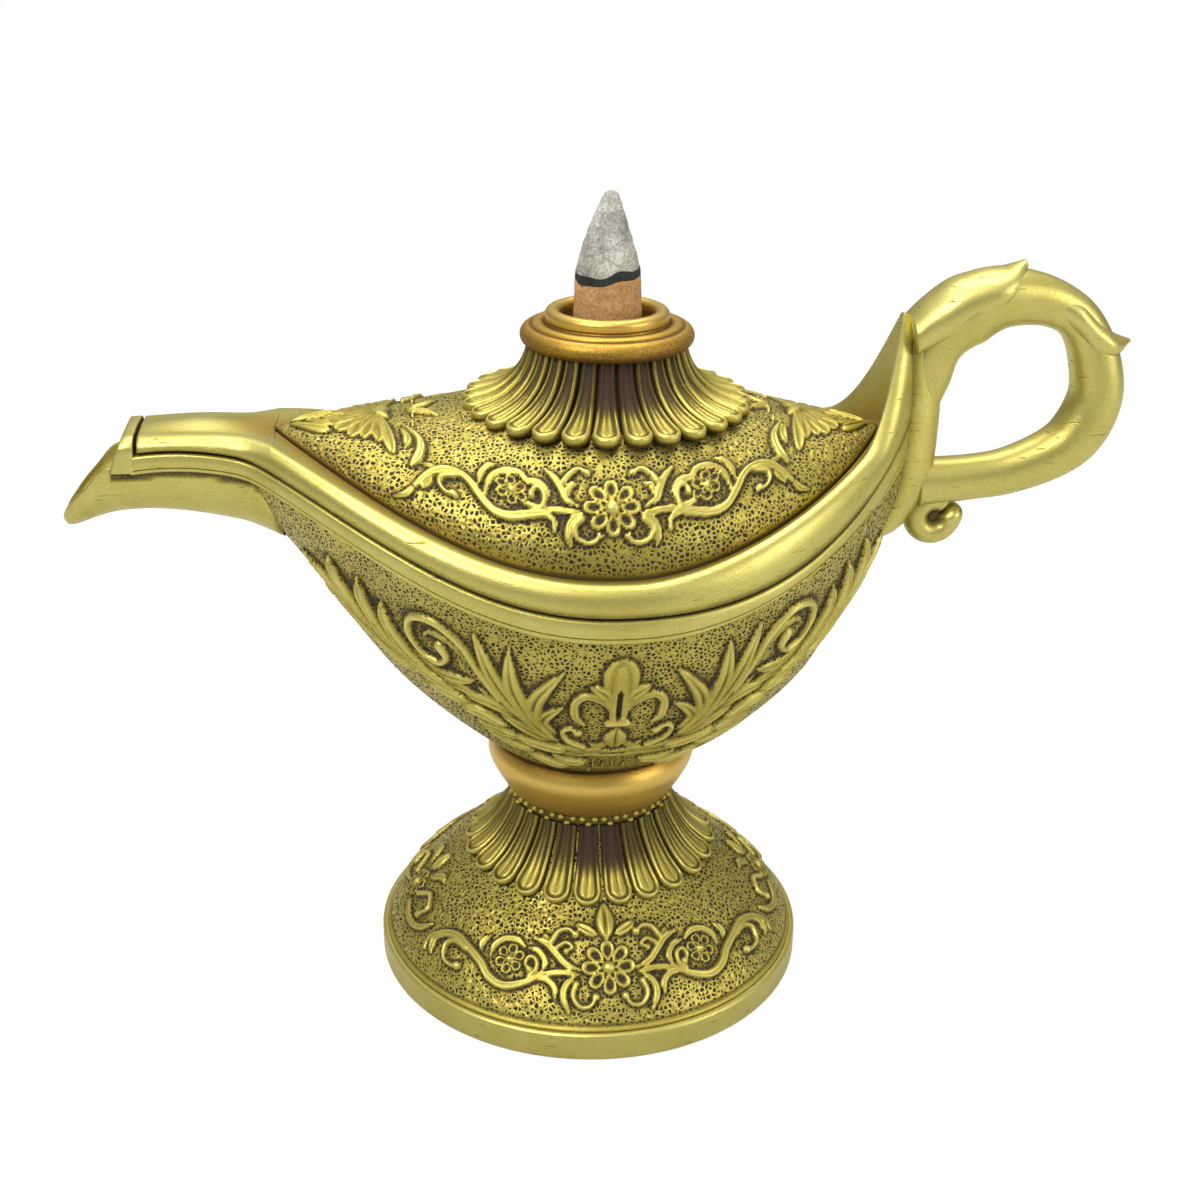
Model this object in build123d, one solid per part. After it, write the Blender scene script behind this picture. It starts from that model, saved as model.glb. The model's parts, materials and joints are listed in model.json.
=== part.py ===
"""Genie oil lamp with a lift-off lid that carries a smoke-fall incense cone.

The lamp stands on the origin, +Z up. Its spout points to -X and its handle to +X.
"""
from build123d import *
import os
from math import cos, exp, pi, radians, sin

# Fits and general values, in millimetres
joint_gap = 0.3
lid_side_gap = 0.5
wall = 3.0
cut_over = 20.0
loft_point_count = 24

# Foot
foot_radius = 41.0
foot_edge_round = 1.2
foot_rim_height = 5.8
foot_rim_width = 5.0
foot_dome_radius = 40.0
foot_waist_radius = 14.0
foot_top_z = 36.0
foot_profile_shares = ((0.900, 0.14), (0.735, 0.28), (0.550, 0.42), (0.370, 0.52),
                       (0.230, 0.62), (0.100, 0.76), (0.020, 0.90))
base_felt_thickness = 1.2
base_board_thickness = 2.4
foot_ceiling_drop = 5.0

# Petal collars
petal_thickness = 1.3
petal_flute_depth = 0.55
petal_edge_width = 0.55
petal_gap = 0.35
petal_lift = 0.12
petal_root_share = 0.5
foot_petal_count = 24
foot_petal_reach = 23.0
petal_ring_width = 2.0
petal_ring_flare = 3.3
petal_ring_height = 5.6
lid_petal_count = 28
lid_petal_reach = 25.0
lid_petal_root_radius = 12.6
lid_petal_tip_z = 110.4
lid_petal_root_z = 121.6
lid_petal_profile_shares = ((0.06, 0.22), (0.17, 0.46), (0.38, 0.70), (0.66, 0.88))

# Neck
bead_ring_radius = 15.0
bead_ring_height = 2.2
bead_radius = 0.95
bead_count = 24
foot_petal_top_z = foot_top_z - bead_ring_height - petal_lift
neck_base_radius = 16.0
neck_belly_radius = 19.6
neck_top_radius = 18.6
neck_height = 10.6
neck_belly_share = 0.72

# Tie screw through the neck
tie_screw_radius = 2.5
tie_hole_gap = 0.25
tie_head_radius = 4.6
tie_head_height = 3.0
tie_slot_width = 1.2
tie_slot_depth = 1.4
tie_washer_radius = 7.0
tie_washer_thickness = 1.2
tie_nut_across_flats = 8.0
tie_nut_height = 4.0
tie_screw_overrun = 1.5

# Bowl, from the top of the neck up to a height that the rim line cuts
bowl_loft_height = 60.0
bowl_bow_reach = 66.0
bowl_stern_reach = 58.0
bowl_half_width = 40.0
bowl_level_shares = ((0.000, 0.270, 0.325, 0.450, 1.00), (0.070, 0.345, 0.465, 0.588, 1.02),
                     (0.170, 0.460, 0.605, 0.713, 1.10), (0.270, 0.560, 0.715, 0.805, 1.20),
                     (0.378, 0.640, 0.785, 0.880, 1.32), (0.487, 0.710, 0.848, 0.940, 1.45),
                     (0.587, 0.770, 0.905, 0.980, 1.55), (0.687, 0.835, 0.945, 1.050, 1.60),
                     (0.787, 0.910, 0.980, 1.100, 1.65), (0.903, 0.975, 1.000, 1.120, 1.70),
                     (1.000, 1.000, 1.000, 1.120, 1.70))

# Sheer lines: heights along the lamp of the band's foot, the groove and the lid's edge
sheer_low_x = 4.0
sheer_bow_span = 76.0
sheer_stern_span = 54.0
sheer_bow_power = 1.3
band_low_z = 82.2
band_bow_rise = 20.3
band_stern_rise = 19.4
band_stern_power = 1.9
groove_low_z = 86.9
groove_bow_rise = 19.4
groove_stern_rise = 22.0
groove_stern_power = 2.6
lid_edge_low_z = 91.7
lid_edge_bow_rise = 18.3
lid_edge_stern_rise = 17.3
lid_edge_stern_power = 1.6

# Plans of the rim and of the lid
plan_middle_x = -1.0
rim_bow_reach = 66.0
rim_stern_reach = 58.0
rim_half_width = 40.5
plan_bow_power = 1.8
plan_stern_power = 1.6
hood_end_x = 78.6
hood_end_half_width = 8.0
hood_root_half_width = 9.6
hood_blend_power = 6.0
lid_bow_reach = 55.8
lid_stern_reach = 51.2
lid_half_width = 35.0

# Rim and hood
rim_crest_rise = -0.2
rim_crest_inset = 3.0
rim_shoulder_share = 0.45
hood_crest_z = 110.4
hood_end_crest_z = 108.4
hood_arch_drop = 1.8
deck_height = 0.5
stern_tip_z = 126.2
stern_rise_start_x = 42.0
stern_rise_power = 2.0
lid_ledge_width = 2.6
lid_seat_depth = 2.4
passage_half_width = 5.4
passage_top_drop = 2.6
passage_low_z = 96.2
strap_width = 4.8
strap_lean = 2.4
strap_proud = 0.4
rim_station_shares = (1.000, 0.930, 0.840, 0.770, 0.700, 0.600, 0.480, 0.330, 0.160)
stern_station_shares = (0.050, 0.280, 0.480, 0.640, 0.760, 0.840, 0.900, 0.950, 0.980)

# Spout trough: rows of run, half width, underside, lip and channel floor
trough_root_x = 55.0
trough_tip_x = 92.8
trough_half_width = 8.2
trough_low_z = 90.8
trough_height = 12.6
trough_wall = 1.9
trough_station_shares = ((0.00, 1.24, -0.22, 1.00, 0.36), (0.15, 1.17, 0.00, 1.00, 0.36),
                         (0.30, 1.11, 0.12, 1.00, 0.38), (0.47, 1.05, 0.21, 1.00, 0.42),
                         (0.64, 1.00, 0.24, 1.00, 0.45), (0.79, 0.96, 0.19, 0.93, 0.44),
                         (0.86, 0.87, 0.13, 0.70, 0.38), (0.92, 0.72, 0.07, 0.51, 0.29),
                         (0.96, 0.52, 0.03, 0.33, 0.19), (1.00, 0.24, 0.01, 0.15, 0.10))

# Handle
handle_path_shares = ((-0.03, 0.37, 0.52), (0.00, 0.56, 0.83), (0.04, 0.74, 0.96), (0.15, 0.90, 1.34),
                      (0.34, 0.99, 1.22), (0.56, 0.985, 1.02), (0.735, 0.925, 0.88), (0.845, 0.83, 0.87),
                      (0.93, 0.66, 0.98),
                      (0.965, 0.46, 1.05), (0.90, 0.27, 1.08), (0.77, 0.145, 1.02), (0.52, 0.045, 0.93),
                      (0.29, 0.01, 0.90), (-0.02, -0.01, 0.96))
handle_root_x = 60.0
handle_low_z = 94.9
handle_span_x = 32.8
handle_span_z = 34.0
handle_radius = 4.6
handle_plate_half_width = 5.4
handle_plate_outer_shares = ((-0.16, -0.28), (-0.06, -0.15), (0.02, 0.00), (0.07, 0.14),
                             (0.075, 0.44), (0.05, 0.66), (-0.01, 0.82), (-0.062, 0.93))
leaf_half_width = 3.0
top_leaf_upper_shares = ((-0.14, 0.905), (-0.06, 0.985), (0.07, 1.082), (0.186, 1.123),
                         (0.363, 1.152), (0.476, 1.191))
top_leaf_lower_shares = ((0.488, 1.161), (0.433, 1.090), (0.366, 1.003), (0.152, 0.930),
                         (-0.046, 0.840))
side_leaf_upper_shares = ((0.70, 1.03), (0.80, 0.985), (0.91, 0.885), (1.02, 0.80), (1.118, 0.763))
side_leaf_lower_shares = ((1.105, 0.735), (1.05, 0.66), (0.960, 0.630), (0.823, 0.820))
scroll_curl_radius = 3.4
scroll_tube_radius = 2.1
scroll_ball_radius = 2.4
scroll_top_z = handle_low_z - handle_radius
scroll_centre_x = 62.9
scroll_centre_z = 88.0
scroll_start_angle = 125.0
scroll_turn_angle = 270.0

# Lid
lid_shell = 2.8
lid_axis_x = 2.0
lid_bow_ridge_z = 107.9
lid_stern_ridge_z = 105.4
lid_middle_ridge_z = 110.8
lid_bump_rise = 5.4
lid_bump_length = 20.0
lid_station_angles = (7, 18, 30, 42, 55, 68, 80, 92, 105, 118, 130, 142, 154, 166, 174)
collar_torus_radius = 15.2
collar_step_radius = 12.9
collar_root_radius = 12.3
collar_height = 4.2
collar_torus_share = 0.78
collar_base_z = 112.4
socket_radius = 8.3
socket_depth = 7.6
lip_outer_radius = 10.8
lip_height = 2.2
lip_edge_round = 0.6
seat_disc_thickness = 1.0
seat_disc_hole_radius = 2.0
smoke_hole_radius = 4.0

# Cone
cone_base_radius = 5.9
cone_body_height = 11.9
cone_char_radius = 5.6
cone_char_height = 1.3
cone_ash_radius = 5.2
cone_ash_height = 13.0
cone_tip_radius = 0.9
cone_bore_radius = 1.0
cone_bore_depth = 9.0


def share_of(x, start, span):
    """How far x has gone from start over span, held between 0 and 1."""
    return min(max((x - start) / span, 0.0), 1.0)


def sheer_height(x, low, bow_rise, stern_rise, stern_power):
    """Height of a sheer line at x, rising from its low point to the bow and the stern."""
    bow_share = max((sheer_low_x - x) / sheer_bow_span, 0.0)
    if bow_share > 0:
        swing = (1 - cos(pi * min(bow_share, 1.1))) / 2
        return low + bow_rise * swing ** sheer_bow_power
    stern_share = (x - sheer_low_x) / sheer_stern_span
    return low + stern_rise * stern_share ** stern_power


def band_foot(x):
    """Height of the underside of the girdle band."""
    return sheer_height(x, band_low_z, band_bow_rise, band_stern_rise, band_stern_power)


def groove(x):
    """Height of the groove between the girdle band and the rim."""
    return sheer_height(x, groove_low_z, groove_bow_rise, groove_stern_rise, groove_stern_power)


def lid_edge(x):
    """Height of the lid's visible edge."""
    return sheer_height(x, lid_edge_low_z, lid_edge_bow_rise, lid_edge_stern_rise,
                        lid_edge_stern_power)


def pointed_width(x, bow_reach, stern_reach, half_width):
    """Half width at x of a plan that comes to a point at the bow and the stern."""
    if x < plan_middle_x:
        share = (plan_middle_x - x) / (bow_reach + plan_middle_x)
        power = plan_bow_power
    else:
        share = (x - plan_middle_x) / (stern_reach - plan_middle_x)
        power = plan_stern_power
    return half_width * max(1 - share ** 2, 0.0) ** (power / 2)


def rim_width(x):
    """Half width of the rim's plan at x, with the hood running on from the bow."""
    pointed = pointed_width(x, rim_bow_reach, rim_stern_reach, rim_half_width)
    if x > -trough_root_x / 2:
        return pointed
    along = share_of(-x, trough_root_x, hood_end_x - trough_root_x)
    hood = hood_root_half_width + (hood_end_half_width - hood_root_half_width) * along
    return (pointed ** hood_blend_power + hood ** hood_blend_power) ** (1 / hood_blend_power)


def pointed_outline(bow_reach, stern_reach, half_width):
    """Closed plan face of a pointed outline about the plan's middle."""
    points = []
    for step in range(loft_point_count):
        angle = 2 * pi * step / loft_point_count
        reach = stern_reach - plan_middle_x if cos(angle) > 0 else bow_reach + plan_middle_x
        x = plan_middle_x + reach * cos(angle)
        width = pointed_width(x, bow_reach, stern_reach, half_width)
        points.append((x, width if sin(angle) > 0 else -width))
    return make_face(Spline(*points, periodic=True))


def lid_plan(offset):
    """Plan face of the lid grown by offset."""
    return pointed_outline(lid_bow_reach + offset, lid_stern_reach + offset,
                           lid_half_width + offset)


def rim_stations():
    """Places along the lamp where the rim's sections are drawn, bow to stern."""
    bow = [-hood_end_x * share for share in rim_station_shares]
    return bow + [rim_stern_reach * share for share in stern_station_shares]


def rim_plan(inset):
    """Plan face of the rim and hood drawn in by inset."""
    front = [(x, -rim_width(x) + inset) for x in rim_stations()]
    back = [(x, -y) for x, y in reversed(front)]
    stern = [(rim_stern_reach - inset, 0)]
    side = Spline(*(front + stern + back))
    return make_face(side + Line(back[-1], front[0]))


def above(line):
    """Everything above a sheer line, across the whole width."""
    count = 2 * loft_point_count
    start_x = -trough_tip_x - cut_over
    span = handle_root_x + cut_over - start_x
    low = [(start_x + span * step / count, line(start_x + span * step / count))
           for step in range(count + 1)]
    roof_z = max(low[0][1], low[-1][1]) + bowl_loft_height
    outline = Spline(*low) + Polyline(low[-1], (low[-1][0], roof_z), (start_x, roof_z), low[0])
    return extrude(Plane.XZ * make_face(outline), rim_half_width + cut_over, both=True)


def ring_of_revolution(points, curved=()):
    """Solid turned about Z from points of (radius, height); curved is a smooth outer stretch."""
    edges = Polyline(*points) if not curved else Spline(*curved) + Polyline(*points)
    return revolve(Plane.XZ * make_face(edges), Axis.Z)


def disc(radius, low_z, height):
    """Flat disc about the Z axis."""
    return Pos(0, 0, low_z) * extrude(Circle(radius), height)


def foot_curve():
    """Outer curve of the foot dome, from its rim up to the waist."""
    span = foot_dome_radius - foot_waist_radius
    rise = foot_top_z - foot_rim_height
    points = [(foot_dome_radius, foot_rim_height)]
    points += [(foot_waist_radius + span * across, foot_rim_height + rise * up)
               for across, up in foot_profile_shares]
    return points + [(foot_waist_radius, foot_top_z)]


def make_base_felt():
    """Felt disc glued under the base board."""
    return disc(foot_radius - foot_rim_width - joint_gap, 0, base_felt_thickness)


def make_base_board():
    """Fibre board that closes the hollow foot."""
    return disc(foot_radius - foot_rim_width, base_felt_thickness, base_board_thickness)


def make_foot_rim():
    """Smooth rolled ring that the lamp stands on."""
    inner = foot_radius - foot_rim_width
    outline = [(inner, 0), (foot_radius - foot_edge_round, 0), (foot_radius, foot_edge_round),
               (foot_radius, foot_rim_height - foot_edge_round),
               (foot_dome_radius, foot_rim_height), (inner, foot_rim_height), (inner, 0)]
    return ring_of_revolution(outline)


def make_foot_dome():
    """Hollow domed foot that narrows to the waist."""
    curve = foot_curve()
    ceiling = foot_top_z - foot_ceiling_drop
    hollow = [(radius - wall, height) for radius, height in curve if height < ceiling]
    outline = [curve[-1], (0, foot_top_z), (0, ceiling), (hollow[-1][0], ceiling)]
    outline += list(reversed(hollow)) + [curve[0]]
    dome = ring_of_revolution(outline, curve)
    return dome - disc(tie_screw_radius + tie_hole_gap, 0, foot_top_z + cut_over)


def petal_plan(root_radius, reach, count, inset):
    """Plan face of one petal along +X, with straight sides and a round tip."""
    half_pitch = sin(pi / count)
    tip_half = reach * half_pitch / (1 + half_pitch) - petal_gap / 2 - inset
    root = root_radius * petal_root_share
    root_half = root * half_pitch - inset / 2
    tip_x = reach - tip_half - inset
    sides = Polyline((tip_x, -tip_half), (root, -root_half), (root, root_half), (tip_x, tip_half))
    tip = ThreePointArc((tip_x, tip_half), (tip_x + tip_half, 0), (tip_x, -tip_half))
    return make_face(sides + tip)


def turned_skin(curve, inner, outer):
    """Turned layer between two offsets of a curve of (radius, height)."""
    low = [(radius + inner, height + inner) for radius, height in curve]
    high = [(radius + outer, height + outer) for radius, height in curve]
    outline = Spline(*low) + Line(low[-1], high[-1]) + Spline(*reversed(high))
    return revolve(Plane.XZ * make_face(outline + Line(high[0], low[0])), Axis.Z)


def petals_along(curve, reach, count, lift):
    """Fluted petals set round a turned curve, with their undersides lift above it."""
    tall = 2 * (curve[0][1] + cut_over)
    root_radius = curve[0][0]
    half_turn = Rot(0, 0, 180)
    petal = half_turn * turned_skin(curve, lift, petal_thickness)
    petal &= extrude(petal_plan(root_radius, reach, count, 0), tall)
    flute = half_turn * turned_skin(curve, petal_thickness - petal_flute_depth, petal_thickness + petal_gap)
    petal -= flute & extrude(petal_plan(root_radius, reach, count, petal_edge_width), tall)
    return [Rot(0, 0, 360 * step / count) * petal for step in range(count)]


def make_foot_petals():
    """Collar of fluted petals that lies over the shoulder of the foot."""
    curve = [(foot_waist_radius + 2 * petal_lift, foot_petal_top_z)]
    curve += [(radius + petal_lift, height) for radius, height in reversed(foot_curve())
              if height < foot_petal_top_z and radius < foot_petal_reach + petal_thickness]
    low = foot_petal_top_z - petal_ring_height
    flare = foot_waist_radius + petal_ring_flare
    inner = foot_waist_radius + 2 * petal_lift
    ring = ring_of_revolution([(inner, foot_petal_top_z), (inner + petal_ring_width, foot_petal_top_z),
                               (flare + petal_ring_width / 2, low), (flare, low),
                               (inner, foot_petal_top_z)])
    petals = petals_along(curve, foot_petal_reach, foot_petal_count, petal_lift)
    collar = (Rot(0, 0, 180) * ring).fuse(*petals)
    return largest(collar - disc(foot_petal_reach, foot_petal_top_z, cut_over) - make_foot_dome())


def make_bead_ring():
    """Ring of small beads under the neck band, one above each petal."""
    low = foot_top_z - bead_ring_height
    ring = disc(bead_ring_radius, low, bead_ring_height) - disc(foot_waist_radius, low, bead_ring_height)
    middle = low + bead_ring_height / 2
    beads = [Rot(0, 0, 360 * (step + 1 / 2) / bead_count) * Pos(bead_ring_radius, 0, middle)
             * Sphere(bead_radius) for step in range(bead_count)]
    return ring.fuse(*beads) - make_foot_dome()


def make_neck_band():
    """Smooth cup between the foot and the bowl."""
    top_z = foot_top_z + neck_height
    belly_z = foot_top_z + neck_height * neck_belly_share
    side = Spline((neck_base_radius, foot_top_z), (neck_belly_radius, belly_z), (neck_top_radius, top_z))
    rest = Polyline((neck_top_radius, top_z), (0, top_z), (0, foot_top_z), (neck_base_radius, foot_top_z))
    band = revolve(Plane.XZ * make_face(side + rest), Axis.Z)
    return band - disc(tie_screw_radius + tie_hole_gap, foot_top_z - cut_over, neck_height + 2 * cut_over)


def bowl_form(inset):
    """Solid form of the bowl drawn in by inset on every side."""
    wires = []
    base_z = foot_top_z + neck_height
    for level, bow, stern, width, power in bowl_level_shares:
        points = []
        for step in range(loft_point_count):
            angle = 2 * pi * step / loft_point_count
            reach = bowl_stern_reach * stern if cos(angle) > 0 else bowl_bow_reach * bow
            side = (bowl_half_width * width - inset) * abs(sin(angle)) ** power
            points.append(((reach - inset) * cos(angle), side if sin(angle) > 0 else -side))
        z = base_z + bowl_loft_height * level + inset * (1 - level)
        wires.append(Pos(0, 0, z) * Spline(*points, periodic=True))
    return Solid.make_loft([Wire([edge]) for edge in wires])


def passage_form():
    """Smoke passage from the bowl out under the hood."""
    width = 2 * passage_half_width
    length = trough_tip_x - trough_root_x + cut_over
    top = hood_end_crest_z - passage_top_drop
    low = passage_low_z
    round_radius = passage_half_width - joint_gap
    section = Rectangle(width, top - low)
    section = fillet(section.vertices().group_by(Axis.Y)[-1], round_radius * 2 / 3)
    start = Plane(origin=(-trough_root_x + cut_over / 2, 0, (top + low) / 2), x_dir=(0, 1, 0),
                  z_dir=(-1, 0, 0))
    return extrude(start * section, length)


def make_bowl_shell():
    """Hollow bowl between the neck and the girdle band."""
    shell = bowl_form(0) - bowl_form(wall) - above(band_foot)
    base_z = foot_top_z + neck_height
    shell -= disc(tie_screw_radius + tie_hole_gap, base_z - wall, 3 * wall)
    return shell - passage_form()


def band_form():
    """Solid form of the girdle band with nothing cut from it."""
    return (extrude(rim_plan(joint_gap), stern_tip_z) & above(band_foot)) - above(groove)


def make_girdle_band():
    """Flat band under the rim, with the strap that wraps the end of the hood."""
    band = band_form() - extrude(lid_plan(-lid_ledge_width), stern_tip_z)
    strap = strap_form()
    return band + strap - passage_form()


def hood_section(x, proud, bottom):
    """Points across the hood or rim at x, from one lower corner over the top to the other."""
    width = rim_width(x) + proud
    crest = rim_crest(x) + proud
    middle = deck_line(x) + proud
    shoulder = bottom + (crest - bottom) * rim_shoulder_share
    crest_y = max(width - rim_crest_inset, width * rim_shoulder_share)
    half = [(width, bottom), (width, shoulder), (crest_y, crest), (crest_y * 2 / 3, (crest + middle) / 2),
            (crest_y / 3, middle)]
    points = [(x, y, z) for y, z in half] + [(x, 0, middle)]
    return points + [(x, -y, z) for y, z in reversed(half)]


def rim_crest(x):
    """Height of the rim's crest along the lamp."""
    if x < -lid_bow_reach:
        along = share_of(-x, lid_bow_reach, hood_end_x - lid_bow_reach)
        crest = lid_edge(-lid_bow_reach) + rim_crest_rise
        return crest + (hood_end_crest_z - hood_arch_drop - crest) * along ** 2
    tip_run = share_of(x, stern_rise_start_x, rim_stern_reach - stern_rise_start_x)
    tip_rise = stern_tip_z - lid_edge(rim_stern_reach) - rim_crest_rise
    return lid_edge(x) + rim_crest_rise + tip_rise * tip_run ** stern_rise_power


def deck_line(x):
    """Height of the middle of the deck between the two sides of the rim."""
    if x < -lid_bow_reach:
        along = share_of(-x, lid_bow_reach, hood_end_x - lid_bow_reach)
        swell = sin(pi * along) * (hood_crest_z - hood_end_crest_z)
        start = lid_edge(-lid_bow_reach) + deck_height
        return start + (hood_end_crest_z - start) * along + swell
    tip_run = share_of(x, lid_stern_reach, rim_stern_reach - lid_stern_reach)
    tip_rise = stern_tip_z - lid_edge(rim_stern_reach) - deck_height
    return lid_edge(x) + deck_height + tip_rise * tip_run ** (1 / stern_rise_power)


def section_wire(points):
    """Closed wire of a flat foot and a smooth top through points."""
    return Wire([Edge.make_line(points[-1], points[0]), Edge.make_spline([Vector(*p) for p in points])])


def rim_form():
    """Solid form of the rim, hood and stern with nothing cut from it."""
    wires = [section_wire(hood_section(x, 0, groove(x) - rim_crest_inset)) for x in rim_stations()]
    return Solid.make_loft(wires)


def strap_form():
    """Strap across the end of the hood."""
    start = -hood_end_x
    section = hood_section(start, strap_proud, band_foot(start))
    low = section[0][2]
    tall = deck_line(start) - low
    front = [(start - strap_width + strap_lean * (z - low) / tall, y, z) for _, y, z in section]
    return Solid.make_loft([section_wire(section), section_wire(front)])


def make_upper_rim():
    """Rounded rim round the lid, with the hood at the bow and the leaf point at the stern."""
    rim = rim_form() & above(groove)

    def seat(x):
        return lid_edge(x) - lid_seat_depth

    pocket = extrude(lid_plan(lid_side_gap), stern_tip_z) & above(seat)
    rim -= pocket
    rim -= extrude(lid_plan(-lid_ledge_width), stern_tip_z)
    return rim - passage_form()


def trough_form(inset, floor_column):
    """Form of the spout's trough, or of its channel when it is drawn in by inset."""
    wires = []
    run = trough_tip_x - trough_root_x
    for row in trough_station_shares:
        x = -trough_root_x - run * row[0]
        width = max(trough_half_width * row[1] - inset, trough_wall / 3)
        low = trough_low_z + trough_height * row[floor_column]
        lip = trough_low_z + trough_height * row[3] + inset
        bend = low + (lip - low) / 3
        half = [(width, lip), (width * 0.97, bend), (width / 2, low + (bend - low) / 5)]
        points = [(x, y, z) for y, z in half] + [(x, 0, low)]
        points += [(x, -y, z) for y, z in reversed(half)]
        wires.append(section_wire(points))
    return Solid.make_loft(wires)


def make_spout_trough():
    """Open trough that carries the smoke out past the hood."""
    trough = trough_form(0, 2) - trough_form(trough_wall, 4) - above(band_foot)
    return trough - bowl_form(0) - passage_form()


def handle_point(shares):
    """Place in the lamp's middle plane from shares of the handle's spans."""
    return (handle_root_x + handle_span_x * shares[0], handle_low_z + handle_span_z * shares[1])


def handle_tube():
    """Full solid of the handle's loop before it is seated."""
    points = [Vector(x, 0, z) for x, z in map(handle_point, handle_path_shares)]
    wires = []
    for step, shares in enumerate(handle_path_shares):
        before, after = points[max(step - 1, 0)], points[min(step + 1, len(points) - 1)]
        plane = Plane(origin=points[step], x_dir=(0, 1, 0), z_dir=after - before)
        wires.append(Wire([Edge.make_circle(handle_radius * shares[2], plane)]))
    return Solid.make_loft(wires)


def stern_forms():
    """Whole forms at the stern that the handle's pieces are seated against."""
    return bowl_form(0) - above(band_foot), band_form(), rim_form() & above(groove)


def make_handle_plate():
    """Plate that carries the handle on the stern of the bowl."""
    outer = [handle_point(shares) for shares in handle_plate_outer_shares]
    inner_x = handle_root_x - handle_span_x / 3
    inner = [outer[-1], (rim_stern_reach - joint_gap, stern_tip_z),
             (rim_stern_reach - joint_gap, handle_low_z + handle_span_z / 2),
             (inner_x, handle_low_z), (inner_x, outer[0][1]), outer[0]]
    outline = Spline(*outer) + Polyline(*inner)
    plate = extrude(Plane.XZ * make_face(outline), handle_plate_half_width, both=True)
    for form in stern_forms():
        plate -= form
    return largest(plate)


def largest(shape):
    """The largest solid of a shape that a cut left in several."""
    return max(shape.solids(), key=lambda solid: solid.volume)


def leaf(upper_shares, lower_shares, seats):
    """Turned-up leaf seated on the handle."""
    upper = [handle_point(shares) for shares in upper_shares]
    lower = [handle_point(shares) for shares in lower_shares]
    outline = Spline(*upper) + Polyline(upper[-1], *lower, upper[0])
    blade = extrude(Plane.XZ * make_face(outline), leaf_half_width, both=True)
    for seat in seats:
        blade -= seat
    return largest(blade)


def make_handle_scroll(seats):
    """Curl under the root of the handle."""
    def place(angle):
        return (scroll_centre_x + scroll_curl_radius * cos(angle), 0,
                scroll_centre_z + scroll_curl_radius * sin(angle))

    start = radians(scroll_start_angle)
    section = Plane(origin=place(start), x_dir=(0, 1, 0), z_dir=(-sin(start), 0, cos(start)))
    curl = revolve(section * Circle(scroll_tube_radius),
                   Axis((scroll_centre_x, 0, scroll_centre_z), (0, 1, 0)), -scroll_turn_angle)
    curl += Pos(*place(start + radians(scroll_turn_angle))) * Sphere(scroll_ball_radius)
    curl -= Pos(scroll_centre_x, 0, scroll_top_z + cut_over / 2) * Box(cut_over, cut_over, cut_over)
    for seat in seats:
        curl -= seat
    return largest(curl)


def lid_ridge(x):
    """Height of the lid's ridge at x."""
    if x < lid_axis_x:
        end_z = lid_bow_ridge_z
        share = share_of(lid_axis_x - x, 0, lid_bow_reach + lid_axis_x)
    else:
        end_z = lid_stern_ridge_z
        share = share_of(x - lid_axis_x, 0, lid_stern_reach - lid_axis_x)
    bump = lid_bump_rise * exp(-((x - lid_axis_x) / lid_bump_length) ** 2)
    return end_z + (lid_middle_ridge_z - end_z) * (1 - share ** 2) + bump


def lid_form(inset, drop):
    """Form of the lid's dome drawn in by inset, with a flat foot drop below its edge."""
    wires = []
    for angle in lid_station_angles:
        reach = lid_stern_reach - plan_middle_x if angle < 90 else lid_bow_reach + plan_middle_x
        x = plan_middle_x + reach * cos(radians(angle))
        width = pointed_width(x, lid_bow_reach, lid_stern_reach, lid_half_width) - inset
        if width < inset / 2:
            continue
        edge = lid_edge(x)
        foot = edge - drop
        rise = lid_ridge(x) - edge - inset
        arch = []
        steps = 8
        for step in range(steps + 1):
            turn = pi * step / steps
            arch.append((x, width * cos(turn), edge + rise * sin(turn)))
        low = [(x, -width, foot), (x, width, foot)]
        wires.append(Wire([Edge.make_spline([Vector(*p) for p in arch]),
                           Edge.make_line(arch[-1], low[0]), Edge.make_line(low[0], low[1]),
                           Edge.make_line(low[1], arch[0])]))
    return Solid.make_loft(wires)


def on_lid(shape):
    """Shape moved from the lamp's axis to the lid's axis."""
    return Pos(lid_axis_x, 0, 0) * shape


def make_lid_dome():
    """Hollow pointed dome that lies in the rim's seat."""
    drop = lid_seat_depth - joint_gap
    dome = lid_form(0, drop) - lid_form(lid_shell, drop + wall)
    return dome - on_lid(disc(collar_root_radius, collar_base_z - cut_over, 2 * cut_over))


def lid_petal_curve():
    """Curve of (radius, height) that the lid's petals lie on, from the collar outward."""
    span = lid_petal_reach + petal_thickness - lid_petal_root_radius
    rise = lid_petal_root_z - lid_petal_tip_z
    points = [(lid_petal_root_radius, lid_petal_root_z)]
    points += [(lid_petal_root_radius + span * across, lid_petal_root_z - rise * down)
               for across, down in lid_petal_profile_shares]
    return points + [(lid_petal_root_radius + span, lid_petal_tip_z - petal_lift)]


def make_lid_petals():
    """Collar of fluted petals that spreads from the lid's collar over the dome."""
    curve = lid_petal_curve()
    foot = collar_base_z - cut_over
    top = curve[:-1]
    outline = Spline(*top) + Polyline(top[-1], (top[-1][0], foot), (collar_root_radius, foot),
                                      (collar_root_radius, top[0][1]), top[0])
    backing = revolve(Plane.XZ * make_face(outline), Axis.Z)
    collar = backing.fuse(*petals_along(curve, lid_petal_reach, lid_petal_count, -petal_lift))
    return largest(on_lid(collar) - lid_form(0, lid_seat_depth) - make_lid_collar())


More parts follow.
